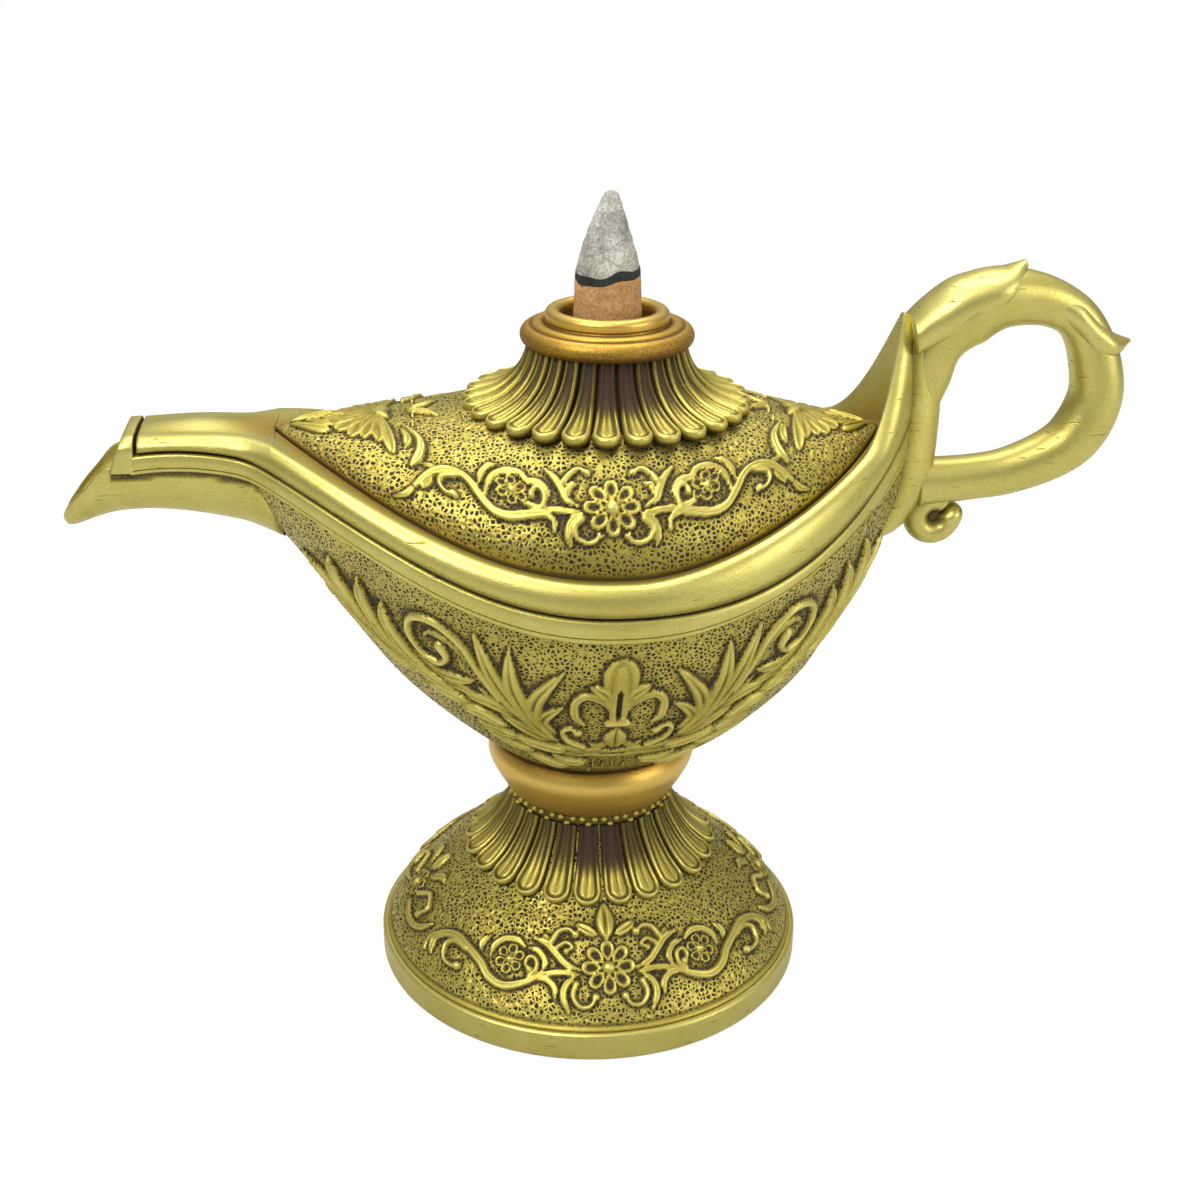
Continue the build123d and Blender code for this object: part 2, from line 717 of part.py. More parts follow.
def make_lid_collar():
    """Stepped and rolled collar that holds the socket."""
    root_z = lid_petal_root_z
    top_z = root_z + collar_height
    torus_z = root_z + collar_height * collar_torus_share / 2
    step_z = root_z + collar_height * collar_torus_share
    floor_z = top_z + lip_height - socket_depth
    lower = Polyline((collar_root_radius, root_z), (collar_root_radius, collar_base_z),
                     (smoke_hole_radius, collar_base_z), (smoke_hole_radius, floor_z),
                     (socket_radius, floor_z), (socket_radius, top_z), (lip_outer_radius, top_z),
                     (collar_step_radius, step_z))
    roll = ThreePointArc((collar_step_radius, step_z), (collar_torus_radius, torus_z),
                         (collar_step_radius, root_z))
    rest = Line((collar_step_radius, root_z), (collar_root_radius, root_z))
    return on_lid(revolve(Plane.XZ * make_face(lower + roll + rest), Axis.Z))


def make_socket_lip():
    """Bright rolled lip round the socket."""
    low = lid_petal_root_z + collar_height
    top = low + lip_height
    outline = [(socket_radius, low), (lip_outer_radius, low), (lip_outer_radius, top - lip_edge_round),
               (lip_outer_radius - lip_edge_round, top), (socket_radius + lip_edge_round, top),
               (socket_radius, top - lip_edge_round), (socket_radius, low)]
    return on_lid(ring_of_revolution(outline))


def socket_floor():
    """Height of the socket's floor."""
    return lid_petal_root_z + collar_height + lip_height - socket_depth


def make_seat_disc():
    """Steel disc with a smoke hole under the cone."""
    disc_blank = disc(socket_radius, socket_floor(), seat_disc_thickness)
    return on_lid(disc_blank - disc(seat_disc_hole_radius, 0, socket_floor() + cut_over))


def cone_layer(low_radius, high_radius, low_z, height):
    """One layer of the incense cone."""
    return Pos(0, 0, low_z + height / 2) * Cone(low_radius, high_radius, height)


def cone_base():
    """Height of the cone's base on the seat disc."""
    return socket_floor() + seat_disc_thickness + joint_gap


def make_cone_body():
    """Unburnt part of the cone, with its smoke bore."""
    body = cone_layer(cone_base_radius, cone_char_radius, cone_base(), cone_body_height)
    return on_lid(body - disc(cone_bore_radius, cone_base() - cut_over, cone_bore_depth + cut_over))


def make_cone_char():
    """Charred ring of the cone."""
    return on_lid(cone_layer(cone_char_radius, cone_ash_radius, cone_base() + cone_body_height,
                             cone_char_height))


def make_cone_ash():
    """Ash tip of the cone."""
    low = cone_base() + cone_body_height + cone_char_height
    round_z = low + cone_ash_height - cone_tip_radius
    side = Polyline((cone_tip_radius, round_z), (cone_ash_radius, low), (0, low),
                    (0, round_z + cone_tip_radius))
    tip = RadiusArc((0, round_z + cone_tip_radius), (cone_tip_radius, round_z), cone_tip_radius)
    return on_lid(revolve(Plane.XZ * make_face(side + tip), Axis.Z))


def make_tie_washer():
    """Washer under the head of the tie screw."""
    low = foot_top_z - foot_ceiling_drop - tie_washer_thickness
    hole = disc(tie_screw_radius + tie_hole_gap, low - cut_over, 2 * cut_over)
    return disc(tie_washer_radius, low, tie_washer_thickness) - hole


def make_tie_screw():
    """Screw that ties foot, neck and bowl together."""
    seat_z = foot_top_z - foot_ceiling_drop - tie_washer_thickness
    floor_z = foot_top_z + neck_height + wall
    head = disc(tie_head_radius, seat_z - tie_head_height, tie_head_height)
    slot = Box(2 * tie_head_radius, tie_slot_width, tie_slot_depth)
    head -= Pos(0, 0, seat_z - tie_head_height + tie_slot_depth / 2) * slot
    shank = disc(tie_screw_radius, seat_z, floor_z + tie_nut_height + tie_screw_overrun - seat_z)
    return head + shank


def make_tie_nut():
    """Nut on the floor of the bowl."""
    floor_z = foot_top_z + neck_height + wall
    outer = tie_nut_across_flats / 2 / cos(pi / 6)
    nut = Pos(0, 0, floor_z) * extrude(RegularPolygon(outer, 6), tie_nut_height)
    return nut - disc(tie_screw_radius, floor_z - cut_over, 2 * cut_over)


parts = {}


def keep(name, shape):
    """Keep a finished piece under its node's name."""
    shape.label = name
    parts[name] = shape
    return shape


def build():
    """Make every piece and write one file for each."""
    keep("base_felt", make_base_felt())
    keep("base_board", make_base_board())
    keep("foot_rim", make_foot_rim())
    keep("foot_dome", make_foot_dome())
    keep("foot_petals", make_foot_petals())
    keep("bead_ring", make_bead_ring())
    keep("neck_band", make_neck_band())
    keep("bowl_shell", make_bowl_shell())
    keep("girdle_band", make_girdle_band())
    keep("upper_rim", make_upper_rim())
    keep("spout_trough", make_spout_trough())
    plate = keep("handle_plate", make_handle_plate())
    tube = handle_tube()
    for form in (plate, *stern_forms()):
        tube -= form
    loop = keep("handle_loop", largest(tube))
    seats = (loop, plate, *stern_forms())
    keep("handle_top_leaf", leaf(top_leaf_upper_shares, top_leaf_lower_shares, seats))
    keep("handle_side_leaf", leaf(side_leaf_upper_shares, side_leaf_lower_shares, seats))
    keep("handle_scroll", make_handle_scroll(seats[1:3]))
    keep("tie_screw", make_tie_screw())
    keep("tie_washer", make_tie_washer())
    keep("tie_nut", make_tie_nut())
    keep("lid_dome", make_lid_dome())
    keep("lid_petals", make_lid_petals())
    keep("lid_collar", make_lid_collar())
    keep("socket_lip", make_socket_lip())
    keep("seat_disc", make_seat_disc())
    keep("cone_body", make_cone_body())
    keep("cone_char", make_cone_char())
    keep("cone_ash", make_cone_ash())
    os.makedirs("parts", exist_ok=True)
    for name, shape in parts.items():
        export_step(shape, "parts/" + name + ".step")
        print(name, round(shape.volume), shape.is_valid, len(shape.solids()))


build()
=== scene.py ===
"""Looks of the genie lamp: gold lacquer over a cast body, its floral relief, petals, handle and cone.

Lengths are in millimetres up to the point where a mesh is made. The frame stands on the origin with +Z up,
the spout points to -X and the handle to +X.
"""

import itertools
import json
import logging
import math
from dataclasses import dataclass, field
from enum import Enum

import bmesh
import bpy
import numpy as np
from mathutils import Matrix, Vector


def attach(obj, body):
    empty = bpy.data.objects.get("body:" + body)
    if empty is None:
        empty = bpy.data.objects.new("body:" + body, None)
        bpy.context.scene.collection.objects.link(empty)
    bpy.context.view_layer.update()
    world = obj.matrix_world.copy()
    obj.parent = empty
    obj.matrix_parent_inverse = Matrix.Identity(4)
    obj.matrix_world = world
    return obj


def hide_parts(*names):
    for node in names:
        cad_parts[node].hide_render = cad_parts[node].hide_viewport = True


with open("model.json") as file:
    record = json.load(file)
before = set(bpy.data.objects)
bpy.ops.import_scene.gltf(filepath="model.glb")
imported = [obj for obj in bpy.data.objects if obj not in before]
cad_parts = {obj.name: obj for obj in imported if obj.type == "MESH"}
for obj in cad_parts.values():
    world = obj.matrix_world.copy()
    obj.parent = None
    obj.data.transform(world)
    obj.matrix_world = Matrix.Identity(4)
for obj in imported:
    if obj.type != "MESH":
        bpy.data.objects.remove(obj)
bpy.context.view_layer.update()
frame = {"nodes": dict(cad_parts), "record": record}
MM = 0.001
LOG = logging.getLogger("lamp")
# Tone of a surface: smooth lacquer as it stands, and a dark painted shade on faces that lie in the dark
# inside or behind a piece.
SMOOTH = 0.62
HIDDEN = 0.03


def share_of(value: np.ndarray, start: float, span: float) -> np.ndarray:
    """How far a value has gone from start over span, held between 0 and 1."""
    return np.clip((np.asarray(value, float) - start) / span, 0.0, 1.0)


def eased(share: np.ndarray) -> np.ndarray:
    """A share that leaves 0 and reaches 1 gently."""
    share = np.clip(share, 0.0, 1.0)
    return share * share * (3 - 2 * share)


def between(value: np.ndarray, stations: np.ndarray, results: np.ndarray) -> np.ndarray:
    """Cubic values between stations.

    Args:
        value: where the values are wanted.
        stations: rising places of the known values.
        results: the known values.

    Returns:
        The values, as smooth as the slopes at the stations allow.
    """
    value = np.asarray(value, float)
    slope = np.gradient(results, stations)
    low = np.clip(np.searchsorted(stations, value) - 1, 0, len(stations) - 2)
    run = stations[low + 1] - stations[low]
    t = (value - stations[low]) / run
    return ((2 * t ** 3 - 3 * t ** 2 + 1) * results[low] + (t ** 3 - 2 * t ** 2 + t) * run * slope[low]
            + (3 * t ** 2 - 2 * t ** 3) * results[low + 1] + (t ** 3 - t ** 2) * run * slope[low + 1])


def run_along(line: np.ndarray) -> np.ndarray:
    """Distance along a line at each of its places."""
    return np.concatenate([[0], np.cumsum(np.linalg.norm(np.diff(line, axis=0), axis=1))])


def around(columns: int) -> np.ndarray:
    """Turns of places spaced evenly round an axis."""
    return np.arange(columns) * 2 * math.pi / columns


def places_of(x: np.ndarray, y: np.ndarray, z: np.ndarray) -> np.ndarray:
    """Places from coordinates that spread over one another."""
    return np.stack(np.broadcast_arrays(x, y, z), -1)


def capped(rows: np.ndarray) -> np.ndarray:
    """Rows of places, closed to a point before the first and after the last."""
    ends = [np.broadcast_to(row.mean(0), row.shape)[None] for row in (rows[0], rows[-1])]
    return np.vstack([ends[0], rows, ends[1]])


def smooth_line(points: tuple, steps: int = 7) -> np.ndarray:
    """Line that passes smoothly through given points.

    Args:
        points: the points, in two or three dimensions.
        steps: places worked out between one point and the next.

    Returns:
        The places along the line, ends included.
    """
    knots = np.asarray(points, float)
    if len(knots) < 3:
        return np.linspace(knots[0], knots[-1], steps + 1)
    knots = np.vstack([2 * knots[0] - knots[1], knots, 2 * knots[-1] - knots[-2]])
    t = np.linspace(0, 1, steps, endpoint=False)[:, None]
    runs = [0.5 * (2 * b + (c - a) * t + (2 * a - 5 * b + 4 * c - d) * t ** 2
                   + (3 * b - a - 3 * c + d) * t ** 3)
            for a, b, c, d in zip(knots, knots[1:], knots[2:], knots[3:])]
    return np.vstack(runs + [knots[-2:-1]])


def hashed(cells: np.ndarray, salt: int) -> np.ndarray:
    """Steady random shares for whole-number cells.

    Args:
        cells: cell numbers, three to a row.
        salt: picks one of many draws for the same cell.

    Returns:
        One share from 0 to 1 for each row.
    """
    mixed = (cells[:, 0] * 73856093) ^ (cells[:, 1] * 19349663) ^ (cells[:, 2] * 83492791) ^ (salt * 40503)
    mixed = ((mixed ^ (mixed >> 13)) * 1274126177) & 0xFFFFFFFF
    return ((mixed ^ (mixed >> 16)) & 0xFFFFFF) / 0xFFFFFF


def casting_pits(places: np.ndarray, spacing: float, reach: float) -> np.ndarray:
    """Round pits scattered through space, as a stippled mould leaves them.

    Args:
        places: points of the surface, in millimetres.
        spacing: mean distance between pit centres.
        reach: radius of a pit's sphere.

    Returns:
        Depth of each place in a pit, from 0 outside to 1 at a centre.
    """
    flat = places.reshape(-1, 3)
    cell = np.floor(flat / spacing).astype(np.int64)
    nearest = np.full(len(flat), np.inf)
    for offset in itertools.product((-1, 0, 1), repeat=3):
        beside = cell + np.array(offset)
        shift = np.stack([hashed(beside, salt) for salt in (1, 2, 3)], 1)
        nearest = np.minimum(nearest, np.linalg.norm((beside + shift) * spacing - flat, axis=1))
    return np.clip(1 - (nearest / reach) ** 2, 0, 1).reshape(places.shape[:2])


def blurred(values: np.ndarray, reach: int, ring: bool) -> np.ndarray:
    """Values averaged over their neighbours in a grid.

    Args:
        values: the grid, rows by columns.
        reach: neighbours taken in on each side.
        ring: whether the last column meets the first.

    Returns:
        The averaged grid.
    """
    for axis, mode in ((0, "edge"), (1, "wrap" if ring else "edge")):
        for _ in range(2):
            pad = [(reach + 1, reach) if k == axis else (0, 0) for k in (0, 1)]
            total = np.cumsum(np.pad(values, pad, mode=mode), axis=axis)
            high = np.take(total, range(2 * reach + 1, total.shape[axis]), axis=axis)
            low = np.take(total, range(0, total.shape[axis] - 2 * reach - 1), axis=axis)
            values = (high - low) / (2 * reach + 1)
    return values


class Form(Enum):
    """How one stroke of the relief is cut."""

    VINE = "round stem, thinner at both ends"
    CURL = "stem that thins to a ball"
    LEAF = "pointed leaf with a midrib"
    LOBE = "hollow tongue with a raised edge"
    BUD = "smooth round-ended body"
    SLIT = "groove"


@dataclass(frozen=True)
class Stroke:
    """One stroke of the relief: its line, half width, height and form."""

    points: tuple
    half_width: float
    height: float
    form: Form

    def width_share(self, along: np.ndarray) -> np.ndarray:
        """Outline of the stroke.

        Args:
            along: how far along the line each place is, from 0 to 1.

        Returns:
            Share of the half width at each place.
        """
        ends = np.minimum(along, 1 - along)
        if self.form is Form.VINE:
            return 0.42 + 0.48 * eased(ends * 4)
        if self.form is Form.CURL:
            return 0.9 - 0.42 * along + 0.7 * np.exp(-((1 - along) / 0.07) ** 2)
        if self.form is Form.LEAF:
            return np.sin(math.pi * np.clip(along, 0.01, 0.995) ** 0.85) ** 0.8 + 0.03
        if self.form is Form.LOBE:
            tip = np.clip((along - 0.72) / 0.28, 0, 1)
            return (0.5 + 0.5 * eased(along * 1.5)) * np.sqrt(np.clip(1 - tip ** 2, 0.002, 1))
        return np.sqrt(np.clip(1 - (2 * np.clip(along, 0, 1) - 1) ** 4, 0.02, 1))

    def crown(self, off: np.ndarray, gap: np.ndarray) -> np.ndarray:
        """Share of the height at an offset from the line.

        Args:
            off: distance from the line as a share of the half width there.
            gap: the same distance in millimetres.

        Returns:
            Share of the height, 0 from the stroke's edge outward.
        """
        dome = np.sqrt(np.clip(1 - off ** 2, 0, 1))
        if self.form is Form.LEAF:
            return dome ** 0.7 * (1 - 0.6 * np.exp(-(gap / 0.26) ** 2))
        if self.form is Form.VINE:
            return dome * (1 - 0.5 * np.exp(-(gap / 0.22) ** 2))
        if self.form is Form.LOBE:
            return np.clip(1 - off ** 6, 0, 1) * (0.35 + 0.65 * np.clip(off, 0, 1) ** 2)
        return dome


@dataclass(frozen=True)
class Flower:
    """A round flower of the relief, with hollow petals about a boss."""

    centre: tuple
    radius: float
    petals: int
    height: float
    boss: float


class Relief:
    """Ornament raised on a grid of a surface, in millimetres along that surface."""

    PIT_SPACING = 0.98
    PIT_REACH = 0.48
    PIT_DEPTH = 0.16
    # Ornament this high is clear of the pitted ground.
    CLEAR = 0.3
    # A hollow is compared with this many neighbours on each side, and is dark where it is this deep.
    NEIGHBOURS = 4
    DARK_DEPTH = 1.3
    # How strongly the patina gathers along the foot of an ornament.
    OUTLINE = 1.45

    def __init__(self, grid: np.ndarray, across: np.ndarray, along: np.ndarray,
                 across_stretch: np.ndarray | float, along_stretch: np.ndarray | float, ring: bool) -> None:
        """Holds the bare surface.

        Args:
            grid: places of the surface, rows by columns by 3.
            across: the ornament's first coordinate at each place, folded where the ornament repeats.
            along: its second coordinate.
            across_stretch: real millimetres to one unit of the first coordinate.
            along_stretch: real millimetres to one unit of the second coordinate.
            ring: whether the last column meets the first.
        """
        self.grid = grid
        self.ring = ring
        shape = grid.shape[:2]
        self.across, self.along = np.broadcast_to(across, shape), np.broadcast_to(along, shape)
        self.across_stretch = np.broadcast_to(across_stretch, shape)
        self.along_stretch = np.broadcast_to(along_stretch, shape)
        self.height = np.zeros(shape)
        self.bare = np.zeros(shape)
        self.normal = surface_normal(grid, ring)

    def carve(self, strokes: tuple) -> None:
        """Raises strokes and flowers, and cuts the slits last."""
        for item in sorted(strokes, key=lambda one: getattr(one, "form", None) is Form.SLIT):
            if isinstance(item, Flower):
                self.raise_flower(item)
            else:
                self.raise_stroke(item)

    def near(self, low: np.ndarray, high: np.ndarray, reach: float) -> tuple:
        """Places of the grid within reach of a box of the ornament's coordinates."""
        return np.nonzero((self.across > low[0] - reach) & (self.across < high[0] + reach)
                          & (self.along > low[1] - reach) & (self.along < high[1] + reach))

    def raise_stroke(self, stroke: Stroke) -> None:
        """Raises or cuts one stroke.

        Args:
            stroke: the stroke, in the ornament's coordinates.
        """
        line = smooth_line(stroke.points)
        spot = self.near(line.min(0), line.max(0), stroke.half_width * 2.2)
        if not len(spot[0]):
            return
        stretch = np.stack([self.across_stretch[spot], self.along_stretch[spot]], 1)
        place = np.stack([self.across[spot], self.along[spot]], 1)
        gap = np.full(len(place), np.inf)
        run_share = np.zeros(len(place))
        for step, (start, end) in enumerate(zip(line, line[1:])):
            run = (end - start) * stretch
            away = (place - start) * stretch
            share = np.clip((away * run).sum(1) / np.maximum((run ** 2).sum(1), 1e-9), 0, 1)
            distance = np.hypot(*(away - run * share[:, None]).T)
            closer = distance < gap
            gap = np.where(closer, distance, gap)
            run_share = np.where(closer, (step + share) / (len(line) - 1), run_share)
        off = gap / (stroke.half_width * stroke.width_share(run_share))
        rise = stroke.height * stroke.crown(off, gap)
        if stroke.form is Form.SLIT:
            self.height[spot] -= rise
        else:
            self.height[spot] = np.where(off < 1, np.maximum(self.height[spot], rise), self.height[spot])

    def raise_flower(self, flower: Flower) -> None:
        """Raises round hollow petals with a raised edge about a boss.

        Args:
            flower: the flower, in the ornament's coordinates.
        """
        centre = np.array(flower.centre)
        spot = self.near(centre, centre, flower.radius * 1.6)
        x = (self.across[spot] - centre[0]) * self.across_stretch[spot]
        y = (self.along[spot] - centre[1]) * self.along_stretch[spot]
        radius, angle = np.hypot(x, y), np.arctan2(y, x)
        sector = 2 * math.pi / flower.petals
        swing = (angle - math.pi / 2 + sector / 2) % sector - sector / 2
        middle, reach = 0.62 * flower.radius, 0.38 * flower.radius
        half = 0.5 * (middle + radius) * math.sin(sector / 2)
        off = np.hypot((radius * np.cos(swing) - middle) / reach, radius * np.sin(swing) / half)
        petal = np.clip(1 - off ** 10, 0, 1) * (0.12 + 0.88 * np.clip(off, 0, 1) ** 3)
        boss = 1.1 * np.sqrt(np.clip(1 - (radius / flower.boss) ** 2, 0, 1))
        rise = flower.height * np.maximum(petal, boss)
        self.height[spot] = np.where(radius < flower.radius, rise, np.maximum(self.height[spot], rise))

    def stipple(self, fade: np.ndarray) -> None:
        """Pits the ground between the ornaments.

        Args:
            fade: share of the pits' depth at each place.
        """
        self.bare = (1 - eased(self.height / self.CLEAR)) * fade
        pits = casting_pits(self.grid, self.PIT_SPACING, self.PIT_REACH)
        self.height = self.height - self.PIT_DEPTH * pits * self.bare

    def raised(self) -> np.ndarray:
        """The surface with its ornament."""
        return self.grid + self.normal * self.height[..., None]

    def wear_and_shade(self) -> np.ndarray:
        """Where lacquer is rubbed and where patina stays.

        Returns:
            Wear of each place: 0 in hollows, 0.5 on even ground and 1 on crests.
        """
        raised = eased(self.height / self.CLEAR)
        foot = blurred(raised, 1, self.ring) * (1 - raised)
        hollow = (self.height - blurred(self.height, self.NEIGHBOURS, self.ring)) / self.DARK_DEPTH
        return np.clip(0.5 + hollow - self.OUTLINE * foot, 0, 1)


def surface_normal(grid: np.ndarray, ring: bool) -> np.ndarray:
    """Unit normals of a grid of places.

    Args:
        grid: places, rows by columns by 3.
        ring: whether the last column meets the first.

    Returns:
        The normals, pointing to the left of the rows as the columns run.
    """
    if ring:
        step = np.roll(grid, -1, 1) - np.roll(grid, 1, 1)
    else:
        step = np.gradient(grid, axis=1)
    normal = np.cross(step, np.gradient(grid, axis=0))
    return normal / np.maximum(np.linalg.norm(normal, axis=2, keepdims=True), 1e-9)


@dataclass
class Casting:
    """Mesh of one piece, gathered skin by skin, in millimetres."""

    name: str
    places: list = field(default_factory=list)
    faces: list = field(default_factory=list)
    looks: dict = field(default_factory=lambda: {"patina_and_shade": [], "warmth_and_shade": [], "pitted": []})
    count: int = 0

    def skin(self, grid: np.ndarray, wear_and_shade: np.ndarray | float = 0.6, ring: bool = False,
             loop: bool = False, warm_and_shade: np.ndarray | float = 0.0, pitted: np.ndarray | float = 0.0) -> None:
        """Adds a grid of quads.

        Args:
            grid: places, rows by columns by 3.
            wear_and_shade: 0 for dark patina in hollows, and for painted shade on hidden, undercut and gap
                faces, to 1 for rubbed lacquer at each place.
            ring: whether the last column meets the first.
            loop: whether the last row meets the first.
            warm_and_shade: 0 for clean lacquer to 1 for lacquer browned by patina; on the bowl near the neck
                it carries painted shade.
            pitted: 0 for smooth lacquer to 1 for the stippled ground.
        """
        rows, columns = grid.shape[:2]
        index = self.count + np.arange(rows * columns).reshape(rows, columns)
        if ring:
            index = np.hstack([index, index[:, :1]])
        if loop:
            index = np.vstack([index, index[:1]])
        quads = np.stack([index[:-1, :-1], index[:-1, 1:], index[1:, 1:], index[1:, :-1]], -1)
        self.places.append(grid.reshape(-1, 3))
        self.faces.append(quads.reshape(-1, 4))
        for name, values in (("patina_and_shade", wear_and_shade), ("warmth_and_shade", warm_and_shade), ("pitted", pitted)):
            self.looks[name].append(np.broadcast_to(values, (rows, columns)).reshape(-1))
        self.count += rows * columns

    def cast(self, body: str, nodes: tuple, finish: bpy.types.Material,
             crease: float = 180.0) -> bpy.types.Object:
        """Makes the piece and puts it in its place.

        Args:
            body: the CAD body that it moves with.
            nodes: the CAD nodes that it stands for.
            finish: its material.
            crease: edges sharper than this many degrees stay crisp.

        Returns:
            The piece.
        """
        mesh = bpy.data.meshes.new(self.name)
        mesh.from_pydata((np.vstack(self.places) * MM).tolist(), [], np.vstack(self.faces).tolist())
        for name, values in self.looks.items():
            layer = mesh.attributes.new(name, "FLOAT", "POINT")
            layer.data.foreach_set("value", np.concatenate(values).astype(np.float32))
        work = bmesh.new()
        work.from_mesh(mesh)
        bmesh.ops.remove_doubles(work, verts=work.verts, dist=0.002 * MM)
        bmesh.ops.recalc_face_normals(work, faces=work.faces)
        work.to_mesh(mesh)
        work.free()
        mesh.shade_smooth()
        if crease < 180:
            mesh.set_sharp_from_angle(angle=math.radians(crease))
        mesh.materials.append(finish)
        piece = bpy.data.objects.new(self.name, mesh)
        bpy.context.scene.collection.objects.link(piece)
        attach(piece, body)
        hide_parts(*nodes)
        LOG.info("%s: %d faces", self.name, len(mesh.polygons))
        return piece


def turned(profile: np.ndarray, columns: int, axis_x: float = 0.0) -> np.ndarray:
    """Grid turned about an upright axis.

    Args:
        profile: rows of (radius, height).
        columns: places round the axis.
        axis_x: where the axis stands along the lamp.

    Returns:
        Places, rows by columns by 3, from -Y round by +X.
    """
    angle = around(columns) - math.pi / 2
    radius, height = profile[:, :1], profile[:, 1:]
    return places_of(axis_x + radius * np.cos(angle), radius * np.sin(angle), height)


def linear(colour: str) -> tuple:
    """Linear colour with full alpha from an sRGB hex value."""
    shares = [int(colour[i:i + 2], 16) / 255 for i in (1, 3, 5)]
    return tuple(s / 12.92 if s <= 0.04045 else ((s + 0.055) / 1.055) ** 2.4 for s in shares) + (1.0,)


def add(tree: bpy.types.NodeTree, kind: str, inputs: dict | None = None, stops: tuple = (),
        **settings) -> bpy.types.Node:
    """Adds one node with its settings, values and links.

    Args:
        tree: the node tree.
        kind: the node's type name after "ShaderNode".
        inputs: values, sockets to link from, or nodes whose first output is linked, by the name or number
            of the input.
        stops: the (place, sRGB hex) pairs of a colour ramp.
        settings: the node's own properties.

    Returns:
        The node.
    """
    made = tree.nodes.new("ShaderNode" + kind)
    for name, value in settings.items():
        setattr(made, name, value)
    for name, value in (inputs or {}).items():
        if isinstance(value, bpy.types.Node):
            value = value.outputs[0]
        if isinstance(value, bpy.types.NodeSocket):
            tree.links.new(value, made.inputs[name])
        else:
            made.inputs[name].default_value = value
    if stops:
        marks = made.color_ramp.elements
        while len(marks) < len(stops):
            marks.new(0.5)
        for mark, (place, colour) in zip(marks, stops):
            mark.position, mark.color = place, linear(colour)
    return made


def per_mm(size: float) -> float:
    """Texture scale in metres whose grain measures size millimetres."""
    return 1 / (size * MM)


def new_tree(holder: bpy.types.Material | bpy.types.World) -> bpy.types.NodeTree:
    """Empties a node tree.

    Args:
        holder: the material or world that owns it.

    Returns:
        The tree.
    """
    holder.use_nodes = True
    holder.node_tree.nodes.clear()
    return holder.node_tree


def new_material(name: str) -> tuple:
    """Starts a material.

    Args:
        name: the material's name.

    Returns:
        The material, its empty tree and its object coordinates.
    """
    material = bpy.data.materials.new(name)
    tree = new_tree(material)
    return material, tree, add(tree, "TexCoord").outputs["Object"]


@dataclass(frozen=True)
class GoldLacquer:
    """Gold lacquer brushed over dark patina on a cast body.

    The eye sees a satin metal with a fine grain, pale where it is rubbed, brown in every hollow and
    peppered with small dark pits on the stippled ground.
    """

    name: str
    hollow: str = "#20170f"
    shade: str = "#6a5b22"
    ground: str = "#ac9d45"
    crest: str = "#cdc06c"
    brown: str = "#38210f"
    metallic: float = 0.8
    roughness: float = 0.43
    scuffs: float = 0.0
    # The brushed grain is drawn coarser than the real one, which would be too fine to show.
    grain: float = 0.3
    cloud: float = 9.0
    pit: float = 0.8
    scuff_size: tuple = (7, 2, 0.5)
    depth: float = 0.18

    def worn(self, tree: bpy.types.NodeTree, place: bpy.types.NodeSocket) -> bpy.types.Node:
        """How far each place is rubbed, from 0 in a pit to 1 on a crest.

        Args:
            tree: the material's tree.
            place: object coordinates.

        Returns:
            The node that gives it.
        """
        wear_and_shade, pitted = (add(tree, "Attribute", attribute_name=name).outputs["Fac"]
                        for name in ("patina_and_shade", "pitted"))
        cloud = add(tree, "TexNoise", {"Vector": place, "Scale": per_mm(self.cloud), "Detail": 4.0})
        grain = add(tree, "TexNoise", {"Vector": place, "Scale": per_mm(self.grain), "Detail": 2.0})
        drift = add(tree, "Math", {0: cloud, 1: 0.3, 2: wear_and_shade}, operation="MULTIPLY_ADD")
        rubbed = add(tree, "Math", {0: grain, 1: 0.42, 2: drift}, operation="MULTIPLY_ADD")
        even = add(tree, "Math", {0: rubbed, 1: 0.36}, operation="SUBTRACT")
        cell = add(tree, "TexVoronoi", {"Vector": place, "Scale": per_mm(self.pit), "Randomness": 0.9},
                   feature="DISTANCE_TO_EDGE")
        pit = add(tree, "MapRange", {"Value": cell, "From Min": 0.13, "From Max": 0.25, "To Min": -0.1,
                                     "To Max": 0.52})
        dark = add(tree, "Math", {0: pit, 1: pitted}, operation="MULTIPLY")
        left = add(tree, "Math", {0: even, 1: dark}, operation="SUBTRACT")
        if not self.scuffs:
            return left
        along = add(tree, "Mapping", {"Vector": place, "Scale": [per_mm(size) for size in self.scuff_size]})
        streak = add(tree, "TexNoise", {"Vector": along, "Scale": 1.0, "Detail": 3.0})
        scuff = add(tree, "MapRange", {"Value": streak, "From Min": 0.66, "From Max": 0.74,
                                       "To Max": self.scuffs})
        return add(tree, "Math", {0: left, 1: scuff}, operation="SUBTRACT")

    def material(self) -> bpy.types.Material:
        """Builds the finish.

        Returns:
            The material.
        """
        material, tree, place = new_material(self.name)
        worn = self.worn(tree, place)
        warm_and_shade = add(tree, "Attribute", attribute_name="warmth_and_shade").outputs["Fac"]
        # The ramp's dark end paints both the patina in the hollows and the painted shade on hidden and shaded
        # faces.
        gold = add(tree, "ValToRGB", {"Fac": worn}, (
            (0.0, self.hollow), (0.28, self.shade), (0.55, self.ground), (0.95, self.crest)))
        colour = add(tree, "Mix", {0: warm_and_shade, 6: gold, 7: linear(self.brown)}, data_type="RGBA").outputs[2]
        rough = add(tree, "MapRange", {"Value": worn, "From Min": 0.1, "From Max": 0.6, "To Min": 0.8,
                                       "To Max": self.roughness})
        metal = add(tree, "MapRange", {"Value": worn, "From Min": 0.05, "From Max": 0.35, "To Min": 0.1,
                                       "To Max": self.metallic})
        bump = add(tree, "Bump", {"Height": worn, "Strength": 0.5, "Distance": self.depth * MM})
        shader = add(tree, "BsdfPrincipled", {"Base Color": colour, "Roughness": rough, "Metallic": metal,
                                              "Normal": bump})
        add(tree, "OutputMaterial", {"Surface": shader})
        return material


